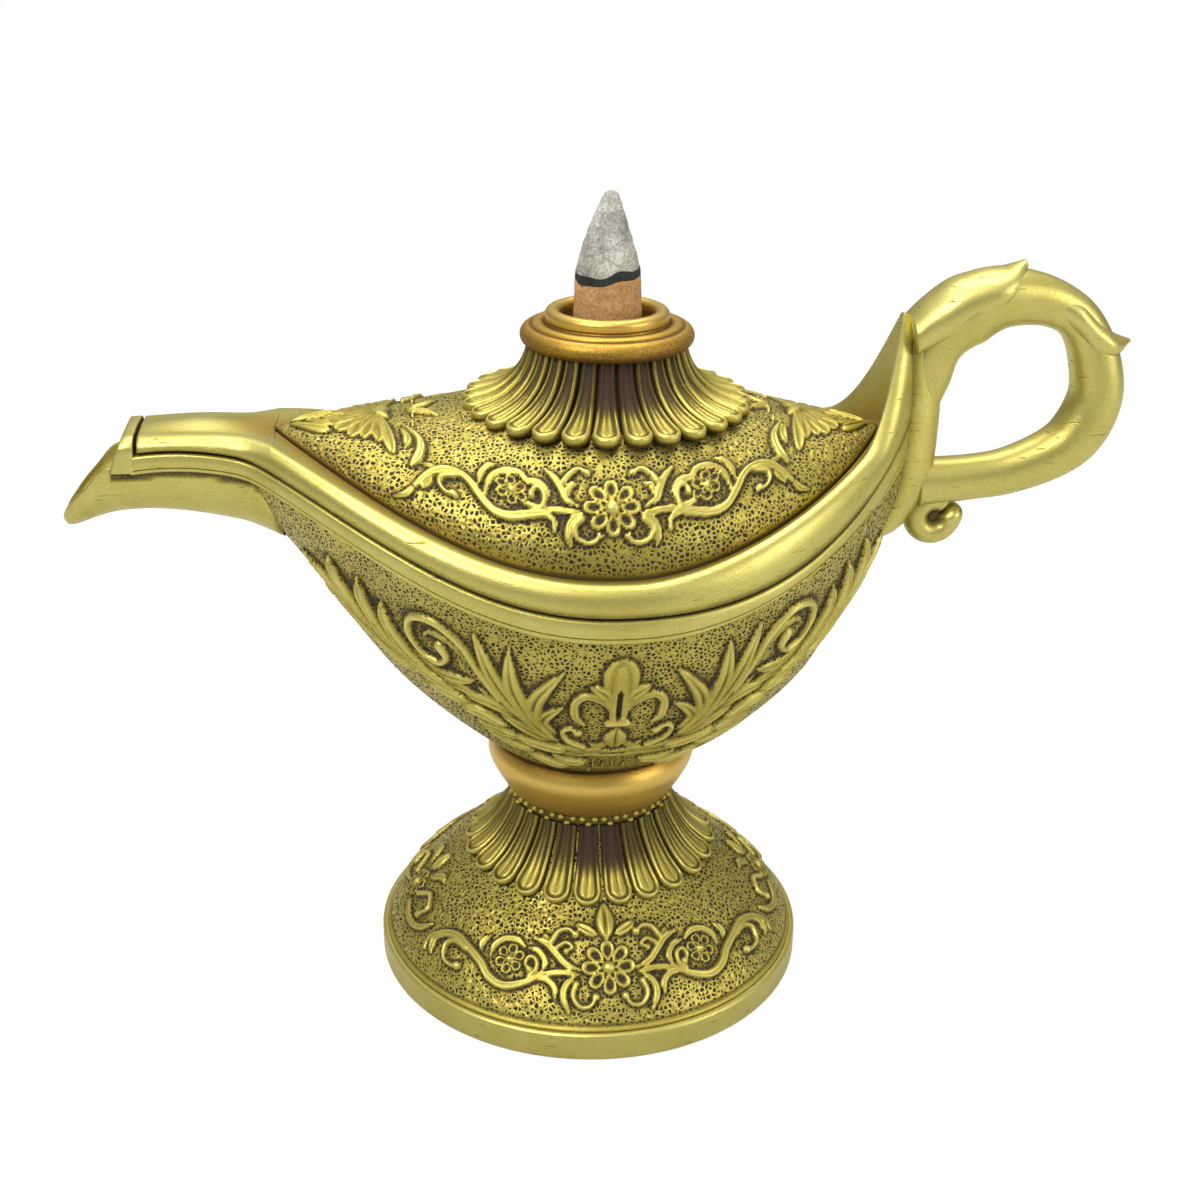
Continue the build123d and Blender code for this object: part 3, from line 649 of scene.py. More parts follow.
@dataclass(frozen=True)
class Pressed:
    """Powder, fibre or felt pressed into a matte solid.

    The eye sees a dull, even grain with small darker and paler spots and no shine.
    """

    name: str
    dark: str
    pale: str
    grain: float
    roughness: float = 0.92
    bump: float = 0.5
    cracks: float = 0.0
    depth: float = 0.1
    clouding: float = 12.0

    def material(self) -> bpy.types.Material:
        """Builds the finish.

        Returns:
            The material.
        """
        material, tree, place = new_material(self.name)
        noise = add(tree, "TexNoise", {"Vector": place, "Scale": per_mm(self.grain), "Detail": 6.0})
        cloud = add(tree, "TexNoise", {"Vector": place, "Scale": per_mm(self.grain * self.clouding)})
        mixed = add(tree, "Math", {0: noise, 1: cloud}, operation="MULTIPLY")
        value = add(tree, "MapRange", {"Value": mixed, "From Min": 0.12, "From Max": 0.40})
        if self.cracks:
            cell = add(tree, "TexVoronoi", {"Vector": place, "Scale": per_mm(self.cracks)},
                       feature="DISTANCE_TO_EDGE")
            line = add(tree, "MapRange", {"Value": cell, "From Min": 0.0, "From Max": 0.05, "To Min": 0.35})
            gate = add(tree, "Math", {0: line, 1: cloud}, operation="MAXIMUM")
            value = add(tree, "Math", {0: value, 1: gate}, operation="MULTIPLY")
        colour = add(tree, "ValToRGB", {"Fac": value}, ((0.0, self.dark), (1.0, self.pale)))
        bump = add(tree, "Bump", {"Height": value, "Strength": self.bump, "Distance": self.depth * MM})
        shader = add(tree, "BsdfPrincipled", {"Base Color": colour, "Roughness": self.roughness,
                                              "Normal": bump})
        add(tree, "OutputMaterial", {"Surface": shader})
        return material


@dataclass(frozen=True)
class ZincPlate:
    """Zinc-plated steel of small fasteners.

    The eye sees a grey metal, mottled by the plating's crystals.
    """

    name: str = "zinc_plate"
    dark: str = "#77797c"
    pale: str = "#a5a7aa"
    spangle: float = 0.5
    metallic: float = 0.95

    def material(self) -> bpy.types.Material:
        """Builds the finish.

        Returns:
            The material.
        """
        material, tree, place = new_material(self.name)
        noise = add(tree, "TexNoise", {"Vector": place, "Scale": per_mm(self.spangle), "Detail": 4.0})
        colour = add(tree, "ValToRGB", {"Fac": noise}, ((0.3, self.dark), (0.7, self.pale)))
        rough = add(tree, "MapRange", {"Value": noise, "To Min": 0.25, "To Max": 0.5})
        shader = add(tree, "BsdfPrincipled", {"Base Color": colour, "Roughness": rough,
                                              "Metallic": self.metallic})
        add(tree, "OutputMaterial", {"Surface": shader})
        return material


class Finishes:
    """Every finish of the lamp, built once."""

    def __init__(self) -> None:
        """Builds the materials."""
        self.antique = GoldLacquer("antique_gold").material()
        self.bright = GoldLacquer("bright_gold", shade="#8a7c33", ground="#b6aa56", crest="#d8cf88",
                                  brown="#94671f", metallic=0.85, roughness=0.38, scuffs=0.4).material()
        self.orange = GoldLacquer("orange_gold", hollow="#24150c", shade="#76541d", ground="#b8933a",
                                  crest="#d3b25a", metallic=0.85, roughness=0.36).material()
        self.zinc = ZincPlate().material()
        self.board = Pressed("fibre_board", "#4a3826", "#7d6547", 0.4).material()
        self.felt = Pressed("wool_felt", "#222b20", "#43503d", 0.25, roughness=1.0, bump=0.9).material()
        self.incense = Pressed("incense_powder", "#8e6238", "#c69d68", 0.5).material()
        self.char = Pressed("burnt_powder", "#0f120e", "#2b2f28", 0.4).material()
        self.ash = Pressed("incense_ash", "#6d6b60", "#bcbaae", 0.45, cracks=3.2).material()

    def dress_frame(self) -> None:
        """Gives each CAD node a finish, which those that stay visible keep."""
        by_slot = {"antique_gold": self.antique, "bright_gold": self.bright, "orange_gold": self.orange,
                   "steel": self.zinc, "fibre_board": self.board, "felt": self.felt,
                   "incense": self.incense, "char": self.char, "ash": self.ash}
        for part in frame["record"]["subparts"]:
            mesh = frame["nodes"][part["node"]].data
            mesh.materials.clear()
            mesh.materials.append(by_slot[part["material_slot"]])


@dataclass(frozen=True)
class Sheer:
    """A line that runs level round the waist of the lamp and rises to the spout and the handle."""

    low: float
    bow_rise: float
    stern_rise: float
    stern_power: float
    waist_x: float = 4.0
    bow_reach: float = 76.0
    stern_reach: float = 54.0
    bow_power: float = 1.3

    def at(self, x: np.ndarray) -> np.ndarray:
        """Height of the line.

        Args:
            x: places along the lamp.

        Returns:
            The heights.
        """
        x = np.asarray(x, float)
        swing = (1 - np.cos(math.pi * np.clip((self.waist_x - x) / self.bow_reach, 0, 1.1))) / 2
        stern = np.clip((x - self.waist_x) / self.stern_reach, 0, None) ** self.stern_power
        return self.low + self.bow_rise * swing ** self.bow_power + self.stern_rise * stern


BAND_FOOT = Sheer(82.2, 20.3, 19.4, 1.9)
GROOVE = Sheer(86.9, 19.4, 22.0, 2.6)
LID_EDGE = Sheer(91.7, 18.3, 17.3, 1.6)
# The pointed plans are widest here, and this full towards the spout and the handle.
WIDEST_X = -1.0
BOW_POWER = 0.9
STERN_POWER = 0.8


def pointed_width(x: np.ndarray, bow: float, stern: float, half_width: float) -> np.ndarray:
    """Half width at x of a plan with a point at each end.

    Args:
        x: places along the lamp.
        bow: reach towards the spout.
        stern: reach towards the handle.
        half_width: the widest half width.

    Returns:
        The half widths.
    """
    x = np.asarray(x, float)
    bow_side = x < WIDEST_X
    share = np.where(bow_side, (WIDEST_X - x) / (bow + WIDEST_X), (x - WIDEST_X) / (stern - WIDEST_X))
    return half_width * np.clip(1 - share ** 2, 0, None) ** np.where(bow_side, BOW_POWER, STERN_POWER)


VINE, CURL, LEAF, LOBE, BUD, SLIT = Form


@dataclass
class Foot:
    """Domed foot with its rim, relief, collar of petals and bead ring."""

    rim_radius: float = 41.0
    rim_height: float = 5.8
    dome_radius: float = 40.0
    waist_radius: float = 14.0
    top: float = 36.0
    wall: float = 3.0
    groove_depth: float = 0.35
    petals: int = 24
    petal_reach: float = 23.0
    petal_top: float = 33.7
    petal_height: float = 1.3
    petal_lift: float = 0.15
    ornament_radius: float = 30.0
    screw_hole: float = 2.75
    crown_thickness: float = 5.0
    bead_radius: float = 0.62
    bead_circle: float = 15.5
    lip: float = 1.2
    shoulder: float = 0.9

    def curve(self) -> np.ndarray:
        """Outer curve of the dome as (radius, height), from the rim to the waist."""
        shares = np.array(((1, 0), (0.9, 0.14), (0.735, 0.28), (0.55, 0.42), (0.37, 0.52), (0.23, 0.62),
                           (0.1, 0.76), (0.02, 0.9), (0, 1)))
        return np.stack([self.waist_radius + (self.dome_radius - self.waist_radius) * shares[:, 0],
                         self.rim_height + (self.top - self.rim_height) * shares[:, 1]], 1)

    def at(self, run: np.ndarray) -> np.ndarray:
        """Places of the curve at distances along it from the rim."""
        curve = self.curve()
        return np.stack([between(run, run_along(curve), curve[:, k]) for k in (0, 1)], -1)

    def length(self) -> float:
        """Length of the dome's curve."""
        return float(run_along(self.curve())[-1])

    def ornament(self) -> tuple:
        """Front spray of the dome, right of its middle where it repeats on the left."""
        return (
            Flower((0, 11.4), 5.0, 8, 1.0, 1.3),
            Stroke(((0, 16.6), (0, 23.7)), 1.7, 0.9, LEAF),
            Stroke(((-1.7, 17.3), (-4, 18.4), (-6.3, 19.6)), 1.0, 0.8, LEAF),
            Stroke(((-10.2, 15.7), (-9.3, 17.6), (-7.5, 18.3), (-6, 17.5)), 0.75, 0.8, CURL),
            Stroke(((-9, 14.8), (-7.5, 15.8), (-6.3, 15), (-7.3, 14.2)), 0.6, 0.7, CURL),
            Stroke(((-13.5, 15.8), (-11, 15.2), (-9, 13.6), (-7, 11.8), (-4.8, 11)), 0.8, 0.9, VINE),
            Stroke(((-12, 16.9), (-10.5, 15.2)), 0.6, 0.7, LEAF),
            Stroke(((-11, 9.5), (-8, 10.3), (-5, 10.2)), 0.7, 0.8, VINE),
            Stroke(((-12, 8.6), (-10, 8.8), (-8.5, 7.5), (-8.2, 5.5)), 0.7, 0.8, VINE),
            Stroke(((-5.5, 9.8), (-6.8, 8), (-7, 6), (-6, 3.2)), 0.75, 0.85, VINE),
            Stroke(((-5.2, 8.5), (-5.6, 6.3), (-4.5, 4.5), (-3, 4.6), (-2.2, 6.2)), 0.7, 0.8, CURL),
            Stroke(((-20.3, 10.5), (-20.2, 12.5), (-18.8, 14.2), (-16.5, 14.7), (-14.8, 13.8)),
                   0.75, 0.85, VINE),
            Stroke(((-14, 13.8), (-12.2, 13.6), (-10.7, 12), (-10.8, 10)), 0.7, 0.8, VINE),
            Stroke(((-10.8, 10), (-12.3, 8.2), (-16, 6.2), (-19, 6.8), (-21.5, 8.8), (-25, 10.2),
                    (-28, 10.8), (-31, 9.5), (-32.8, 7), (-32.5, 5.3)), 0.95, 0.95, VINE),
            Stroke(((-12.8, 8.8), (-11.9, 10.2), (-12.2, 11.9), (-13.4, 12.3), (-13.9, 11), (-13, 10)),
                   0.7, 0.8, CURL),
            Stroke(((-25, 9.7), (-27.5, 9.9), (-29, 8.5), (-28, 6.3), (-26.3, 5.7), (-25, 6.2)),
                   0.75, 0.85, CURL),
            Stroke(((-30, 9.9), (-31.6, 8.2), (-31.3, 6.2), (-30.5, 5.1)), 0.8, 0.8, LEAF),
            Stroke(((-22.2, 10.5), (-22.6, 12.2), (-21.8, 14)), 0.7, 0.8, LEAF),
            Flower((-16.8, 11), 2.9, 6, 0.8, 0.8),
            Flower((-47.1, 10), 3.2, 6, 0.9, 0.9),
            Stroke(((-47.1, 14), (-47.1, 19)), 1.4, 0.8, LEAF),
            Stroke(((-43.5, 10), (-40.5, 12.2), (-38, 10.5), (-39, 8.2)), 0.75, 0.8, CURL),
            Stroke(((-43.8, 7.6), (-40, 6.2), (-36.5, 7), (-34.5, 9.2)), 0.75, 0.8, VINE),
            Stroke(((-44.6, 13.4), (-42, 16), (-40, 15.6)), 0.8, 0.8, LEAF),
        )

    def build(self, finishes: Finishes) -> None:
        """Casts the foot's pieces."""
        self.build_rim(finishes)
        self.build_dome(finishes)
        self.build_petals(finishes)
        self.build_beads(finishes)

    def build_rim(self, finishes: Finishes) -> None:
        """Ring at the bottom with rounded edges, and its seat for the dome."""
        inner = self.rim_radius - 5.0
        seat = self.rim_height - 0.3
        parts = []
        for round_off, middle, start, count in ((self.lip, self.lip, -math.pi / 2, 9),
                                                (self.shoulder, self.rim_height - self.shoulder, 0.0, 8)):
            edge = np.linspace(start, start + math.pi / 2, count)
            parts.append(np.stack([self.rim_radius - round_off * (1 - np.cos(edge)),
                                   middle + round_off * np.sin(edge)], 1))
        parts.append(((self.dome_radius - 0.1, self.rim_height - 0.05), (self.dome_radius - 0.3, seat),
                      (inner, seat), (inner, 0.0)))
        profile = np.vstack(parts)
        wear_and_shade = np.full((len(profile), 1), SMOOTH)
        # Painted shade in the crevice where the dome sits on the rim.
        wear_and_shade[-4] = 0.15
        rim = Casting("foot_rim_ring")
        rim.skin(turned(profile, 360), wear_and_shade, ring=True, loop=True)
        rim.cast("burner", ("foot_rim",), finishes.bright, 60)

    def build_dome(self, finishes: Finishes) -> None:
        """Pitted dome with its sprays of flowers and scrolls."""
        columns, carved = 860, 26.0
        run = np.concatenate([np.linspace(0, carved, 100), np.linspace(carved, self.length(), 16)[1:]])
        profile = self.at(run)
        girth = ((around(columns) + math.pi / 2) % math.pi - math.pi / 2) * self.ornament_radius
        run = run[:, None]
        relief = Relief(turned(profile, columns), -np.abs(girth), run, profile[:, :1] / self.ornament_radius,
                        1.0, True)
        relief.carve(self.ornament())
        relief.stipple(eased(run - 0.8))
        relief.height -= self.groove_depth * np.exp(-((run - 1.1) / 0.28) ** 2)
        under = self.top - self.crown_thickness
        hollow = profile[::10][::-1] - (self.wall, 0)
        hollow[:, 1] = np.minimum(hollow[:, 1], under)
        inside = turned(np.vstack([((self.screw_hole, self.top), (self.screw_hole, under)), hollow]), columns)
        # The hidden inside gets a darker painted shade.
        below = ((0, len(inside)), (0, 0))
        dome = Casting("foot_dome_cast")
        dome.skin(np.vstack([relief.raised(), inside]), np.pad(relief.wear_and_shade(), below, constant_values=0.4),
                  ring=True, loop=True, pitted=np.pad(relief.bare, below))
        dome.cast("burner", ("foot_dome",), finishes.antique)

    def build_petals(self, finishes: Finishes) -> None:
        """Collar of fluted petals over the shoulder."""
        full = self.at(np.linspace(0, self.length(), 200))
        lying = full[(full[:, 0] < self.petal_reach + 0.8) & (full[:, 1] < self.petal_top)][::-1]
        collar = Casting("foot_petal_collar")
        PetalRing(lying, self.petals, self.petal_height, self.petal_lift).add_to(collar)
        collar.cast("burner", ("foot_petals",), finishes.antique)

    def build_beads(self, finishes: Finishes) -> None:
        """Ring with a hanging loop of beads over each petal."""
        ring = Casting("bead_ring_cast")
        low = self.top - 2.2
        profile = np.array(((14.0, low), (14.9, low), (15.3, low + 0.4), (15.35, self.top - 0.3),
                            (15.0, self.top), (14.0, self.top)))
        ring.skin(turned(profile, 240), 0.25, ring=True, loop=True)
        for step in range(self.petals):
            turn = 2 * math.pi * (step + 0.5) / self.petals
            for side, rise, squash in ((-0.075, 1.5, 0.9), (0.075, 1.5, 0.9), (0.0, 0.55, 0.7)):
                place = (self.bead_circle * math.cos(turn + side), self.bead_circle * math.sin(turn + side),
                         low + rise)
                ring.skin(sphere_grid(self.bead_radius, 12, 8) * (1, 1, squash) + place, 0.55, ring=True)
        ring.cast("burner", ("bead_ring",), finishes.antique)


def sphere_grid(radius: float, columns: int, rows: int) -> np.ndarray:
    """Grid of a ball about the origin, poles included."""
    tilt = np.linspace(-math.pi / 2, math.pi / 2, rows)
    return turned(np.stack([radius * np.cos(tilt), radius * np.sin(tilt)], 1), columns)


@dataclass
class PetalRing:
    """Ring of fluted petals on a curve of (radius, height) from the root outward.

    A petal's edge stands thickness over the curve, its underside starts lift over it, and its tip stands
    hang further away.
    """

    lying: np.ndarray
    count: int
    thickness: float
    lift: float
    axis_x: float = 0.0
    hang: float = 0.4
    gap: float = 0.14
    rows: int = 64
    upper_columns: int = 27
    lower_columns: int = 7

    def petal(self, along: np.ndarray, radius: np.ndarray) -> tuple:
        """Form and tone of one petal, with painted shade on its outline and underside.

        Args:
            along: distances from the root, one to a row.
            radius: radius of the curve at each.

        Returns:
            Distance of each place from the petal's middle, its height over the curve, and its tone, painted
            shade included.
        """
        reach = along[-1]
        pitch = math.sin(math.pi / self.count)
        tip_half = radius[-1] * pitch / (1 + pitch) - 0.12
        start = reach - tip_half
        round_off = np.sqrt(np.clip(1 - ((along - start) / tip_half).clip(0, 1) ** 2, 0, 1))
        half = np.where(along < start, radius * pitch - self.gap, tip_half * round_off)[:, None]
        across = np.sin(np.linspace(-math.pi / 2, math.pi / 2, self.upper_columns))[None, :] * half
        tip_gap = tip_half - np.hypot((along - start).clip(0, None)[:, None], across)
        side_gap = half - np.abs(across)
        along = along[:, None]
        edge = np.clip(np.where(along < start, side_gap, np.minimum(tip_gap, side_gap)), 0, None)
        body = np.sqrt(np.clip(1 - (1 - np.clip(edge / 0.75, 0, 1)) ** 2, 0, 1))
        flute = eased((edge - 0.55) / 0.3) * (1 - 0.75 * eased((edge - 1.05) / 0.4))
        tipward = eased((along - 0.5 * reach) / (0.5 * reach))
        groove = np.exp(-(across / 0.2) ** 2) * eased((edge - 1.0) / 0.4) * (1 - 0.5 * tipward)
        fade = 0.4 + 0.6 * eased((reach - along) / 1.6)
        stand = self.hang * eased((along - 0.55 * reach) / (0.45 * reach))
        top = self.thickness * (0.3 + 0.7 * body) - (0.5 * flute + 0.25 * groove) * fade + stand
        under = np.full((self.rows, self.lower_columns), self.lift) + 0.7 * stand
        sides = np.hstack([across, half * np.linspace(0.98, -0.98, self.lower_columns)])
        # Darker in the flutes, along the midrib groove and towards the root; the outline gets painted shade,
        # lighter towards the tip, and the underside a dark painted shade.
        wear_and_shade = 0.7 - 0.6 * flute - 0.35 * groove + 0.14 * tipward
        wear_and_shade *= 0.72 + 0.28 * eased(along / (0.7 * reach))
        wear_and_shade = np.where(edge < 0.1, 0.1 + 0.5 * tipward, wear_and_shade)
        return (sides, np.hstack([top, under]),
                np.pad(wear_and_shade, ((0, 0), (0, self.lower_columns)), constant_values=0.08))

    def add_to(self, collar: Casting) -> None:
        """Adds the petals to a casting, each a little different, darker and warmer in front.

        Args:
            collar: the casting that they join.
        """
        run = run_along(self.lying)
        reach = run[-1]
        along = reach * (1 - (1 - np.linspace(0, 1, self.rows)) ** 1.5)
        radius, height = (np.interp(along, run, self.lying[:, k]) for k in (0, 1))
        rise = np.stack([-np.gradient(height, along), np.gradient(radius, along)], 1)
        rise /= np.linalg.norm(rise, axis=1, keepdims=True)
        sides, stands, wear_and_shade = self.petal(along, radius)
        along = along[:, None]
        tipward = eased((along - 0.5 * reach) / (0.5 * reach))
        rootward = 1 - eased((along - 0.35 * reach) / (0.35 * reach))
        for step in range(self.count):
            turn = 2 * math.pi * (step + 0.5) / self.count - math.pi / 2
            chance = float(hashed(np.array([[step, self.count, 7]]), 5)[0]) - 0.5
            lifts = stands + 0.3 * chance * tipward
            grow = radius[:, None] + rise[:, :1] * lifts
            high = height[:, None] + rise[:, 1:] * lifts
            bend = turn + 0.012 * chance + sides / np.maximum(grow, 1e-6)
            from_front = abs((turn + math.pi / 2 + math.pi) % (2 * math.pi) - math.pi)
            stain = math.exp(-(from_front / 0.36) ** 2)
            warm_and_shade = np.clip((0.35 + 0.55 * stain) * rootward + 0.1 * chance, 0, 1)
            collar.skin(places_of(self.axis_x + grow * np.cos(bend), grow * np.sin(bend), high),
                        np.clip(wear_and_shade * (1 - 0.9 * stain * rootward), 0.02, 1), ring=True, warm_and_shade=warm_and_shade)


@dataclass
class Neck:
    """Smooth cup between the foot and the bowl."""

    low: float = 36.0
    height: float = 10.6
    screw_hole: float = 2.75
    stations: tuple = (0, 0.35, 0.72, 1.0)
    radii: tuple = (15.9, 18.2, 19.6, 18.7)

    def build(self, finishes: Finishes) -> None:
        """Turns the cup."""
        rise = np.linspace(0, 1, 40)
        radius = between(rise, np.array(self.stations), np.array(self.radii))
        side = np.stack([radius, self.low + self.height * rise], 1)
        profile = np.vstack([((self.screw_hole, self.low),), side,
                             ((self.screw_hole, self.low + self.height),)])
        # Painted shade: the cup is darker at the top, in the shadow under the bowl's overhang, and at the
        # bottom where it meets the foot; its hidden ends get a dark painted shade.
        shade = 0.9 - 0.55 * eased((rise - 0.8) / 0.2) - 0.5 * eased((0.16 - rise) / 0.16)
        wear_and_shade = np.pad(shade, 1, constant_values=0.2)[:, None]
        cup = Casting("neck_cup")
        cup.skin(turned(profile, 300), wear_and_shade, ring=True, loop=True)
        cup.cast("burner", ("neck_band",), finishes.orange)


@dataclass
class Bowl:
    """Pitted bowl with a palmette, branches and scrolls on each side."""

    base: float = 46.6
    loft: float = 60.0
    bow: float = 66.0
    stern: float = 58.0
    half_width: float = 40.0
    wall: float = 3.0
    girth_height: float = 80.0
    middle: float = 0.8
    branch_shift: float = 0.4
    levels: tuple = ((0, .27, .325, .45, 1.0), (.07, .345, .465, .588, 1.02), (.17, .46, .605, .713, 1.1),
                     (.27, .56, .715, .805, 1.2), (.378, .64, .785, .88, 1.32),
                     (.487, .71, .848, .94, 1.45), (.587, .77, .905, .98, 1.55),
                     (.687, .835, .945, 1.05, 1.6), (.787, .91, .98, 1.1, 1.65),
                     (.903, .975, 1.0, 1.12, 1.7), (1.0, 1.0, 1.0, 1.12, 1.7))

    def at(self, angle: np.ndarray, z: np.ndarray, inset: float = 0.0) -> np.ndarray:
        """Places of the bowl's form.

        Args:
            angle: turn about the axis, 0 at the handle.
            z: height.
            inset: how far inside the outer form.

        Returns:
            The places.
        """
        rows = np.array(self.levels)
        level = (np.asarray(z, float) - self.base) / self.loft
        bow, stern, width, power = (between(level, rows[:, 0], rows[:, k]) for k in range(1, 5))
        turn, side = np.cos(angle), np.sin(angle)
        reach = np.where(turn > 0, self.stern * stern, self.bow * bow) - inset
        y = (self.half_width * width - inset) * np.abs(side) ** power * np.sign(side)
        return places_of(reach * turn, y, z)

    def ornament(self) -> tuple:
        """Palmette, laurel branches, volutes and garland.

        Returns:
            Strokes by girth from the front's middle and by height.
        """
        branch = (
            (((14.5, 59.5), (18.3, 64), (17.4, 68.5), (14.2, 72.5), (10.4, 76.2)), 1.6, 0.95, LEAF),
            (((14, 61.5), (16.6, 64.4), (14.5, 66.8), (11.2, 68.6)), 1.15, 0.85, LEAF),
            (((15.5, 60), (19.2, 65), (20.9, 72), (19.2, 80.4)), 2.1, 1.0, LEAF),
            (((19, 63.5), (22.4, 68.5), (24.4, 74.5), (24.9, 82.6)), 2.0, 1.0, LEAF),
            (((21.5, 65), (25, 67), (29, 70.6)), 1.0, 0.8, LEAF),
            (((24.5, 69), (26.6, 74), (28.2, 79), (32, 82.9), (36.4, 82.6), (39.3, 79.2), (38.6, 75.6),
              (35.6, 74), (33, 75.4), (33.2, 77.6)), 1.15, 1.05, CURL),
            (((27.5, 73.5), (30, 78.5), (33.8, 80.3), (36.6, 78.6)), 0.7, 0.8, LEAF),
            (((29, 71.6), (33, 71.4), (37, 72), (41.5, 75.4)), 1.2, 0.9, LEAF),
            (((16, 60), (21, 62.4), (26.3, 65.8)), 1.8, 0.95, LEAF),
            (((22.5, 65.6), (28, 67.6), (33.5, 68.2)), 1.5, 0.95, LEAF),
            (((26, 62.2), (31, 64.6), (36.5, 65.2)), 1.7, 1.4, LEAF),
            (((29.5, 68.4), (34.5, 69.8), (40, 69.6)), 1.2, 0.85, LEAF),
            (((32.5, 66.2), (37.5, 67.8), (43, 68.2)), 1.6, 1.4, LEAF),
            (((13, 57.6), (19.5, 58.6), (26.5, 60.6)), 1.6, 1.3, LEAF),
            (((8, 54.4), (13, 54.2), (18.5, 55.6)), 1.3, 1.2, LEAF),
            (((14, 52.4), (20, 53.4), (26.5, 56.6)), 1.4, 1.3, LEAF),
            (((23, 56.4), (29, 58.6), (34, 61.6)), 1.5, 1.4, LEAF),
            (((24.5, 60), (29, 61.2), (34, 62.6)), 1.6, 1.4, LEAF),
            (((35, 68), (41, 71), (45.5, 74.4)), 1.7, 1.4, LEAF),
            (((39, 71), (43, 74), (44.4, 79), (42.4, 84)), 1.9, 1.3, LEAF),
            (((42.5, 72), (47, 76), (47.6, 82), (44.6, 88)), 1.9, 1.5, LEAF),
            (((46, 74), (51, 78.5), (51.6, 85), (48.6, 91)), 1.8, 1.5, LEAF),
            (((49, 77), (55, 82), (58, 89)), 1.6, 1.4, LEAF),
            (((43, 70), (49, 73), (55, 78.5)), 1.7, 1.5, LEAF),
            (((48, 73.4), (54, 76.5), (60, 83)), 1.5, 1.4, LEAF),
            (((8.4, 58.6), (12, 60.2), (12.6, 62.6), (10.6, 63.6), (9.2, 62.4)), 0.8, 0.85, CURL),
            (((2.0, 70.4), (3.8, 72.4), (6.0, 73.4)), 1.15, 1.0, LEAF),
            (((1.6, 67.6), (3.8, 70.4), (6.8, 71.4), (9.0, 69.6), (9.2, 66.4), (7.6, 64.6)), 0.9, 0.95, VINE),
            (((0.3, 57.2), (5, 57.8), (10, 57.6), (16, 59.2)), 0.9, 0.9, VINE),
            (((0.3, 55.8), (6, 56.2), (12, 56.2), (20, 57.2)), 0.7, 0.8, VINE),
            (((2.0, 60.2), (4.4, 58.8), (7, 59.6)), 0.7, 0.8, LEAF),
            (((1.6, 66.4), (0.9, 66.2), (0.2, 66.0)), 1.0, 0.9, BUD))
        mirrored = tuple(
            Stroke(tuple((self.middle + side * (s - self.branch_shift), z) for s, z in points),
                   width, height, form)
            for side in (-1, 1) for points, width, height, form in branch)
        palmette = tuple(
            Stroke(tuple((self.middle, z) for z in heights), width, height, form)
            for heights, width, height, form in (
                ((66, 72.5, 79.2), 3.2, 1.05, LOBE), ((66, 71, 77.9), 1.9, 0.8, BUD),
                ((58.6, 63.8), 2.0, 0.9, LEAF), ((65.8, 72.7), 0.5, 0.9, SLIT)))
        knot = (Stroke(((self.middle - 2.7, 65), (self.middle + 2.7, 65)), 1.0, 1.0, BUD),)
        berries = tuple(
            Stroke(((s, z), (s + 0.1, z)), 1.05, 0.95, BUD)
            for s, z in ((-8.5, 52.4), (-6.6, 51), (-5, 52.6), (-3.2, 50.6), (-1.6, 52.4), (0.2, 50.2),
                         (1.4, 52.6), (3.2, 50.8), (4.8, 52.5), (6.6, 51.2), (8.4, 52.6)))
        return mirrored + palmette + knot + berries

    def build(self, finishes: Finishes) -> None:
        """Casts the bowl with its inside."""
        rows, columns = 124, 800
        fine = np.linspace(-math.pi, math.pi, 7201)
        run = run_along(self.at(fine, np.full(fine.shape, self.girth_height)))
        girth = np.arange(columns) * run[-1] / columns
        angle = np.interp(girth, run, fine)
        top = np.full(columns, 90.0)
        for _ in range(30):
            top = 0.5 * top + 0.5 * (BAND_FOOT.at(self.at(angle, top)[:, 0]) + 0.4)
        rise = np.linspace(0, 1, rows)[:, None]
        z = self.base + (top - self.base) * rise
        grid = self.at(angle, z)
        front = np.interp(-math.pi / 2, fine, run)
        back = run[-1] - front
        folded = np.where(angle < 0, girth - front, back - girth)
        step = np.linalg.norm(np.roll(grid, -1, 1) - grid, axis=2) / (run[-1] / columns)
        tall = np.linalg.norm(np.gradient(grid, axis=0), axis=2) / np.gradient(z, axis=0)
        relief = Relief(grid, folded, z, step, tall, True)
        relief.carve(self.ornament())
        relief.stipple(eased((z - self.base - 0.9) / 3))
        # Painted shade: towards the neck the bowl is darkened and browned where its underside lies in shade.
        above_neck = eased((z - self.base - 0.4) / 4)
        wear_and_shade = relief.wear_and_shade() * (0.4 + 0.6 * above_neck)
        inner_base = self.base + self.wall
        inner_rise = np.linspace(1, 0, 24)[:, None]
        inner = self.at(angle, inner_base + (top - inner_base) * inner_rise, self.wall)
        middle = np.zeros((1, columns, 3))
        places = np.vstack([middle + (0, 0, self.base), relief.raised(), inner, middle + (0, 0, inner_base)])
        # The hidden inside and the floors get a darker painted shade.
        around_wall = ((1, len(inner) + 1), (0, 0))
        bowl = Casting("bowl_cast")
        bowl.skin(places, np.pad(wear_and_shade, around_wall, constant_values=0.3), ring=True,
                  pitted=np.pad(relief.bare, around_wall),
                  warm_and_shade=np.pad(0.6 * (1 - above_neck), around_wall))
        bowl.cast("burner", ("bowl_shell",), finishes.antique)


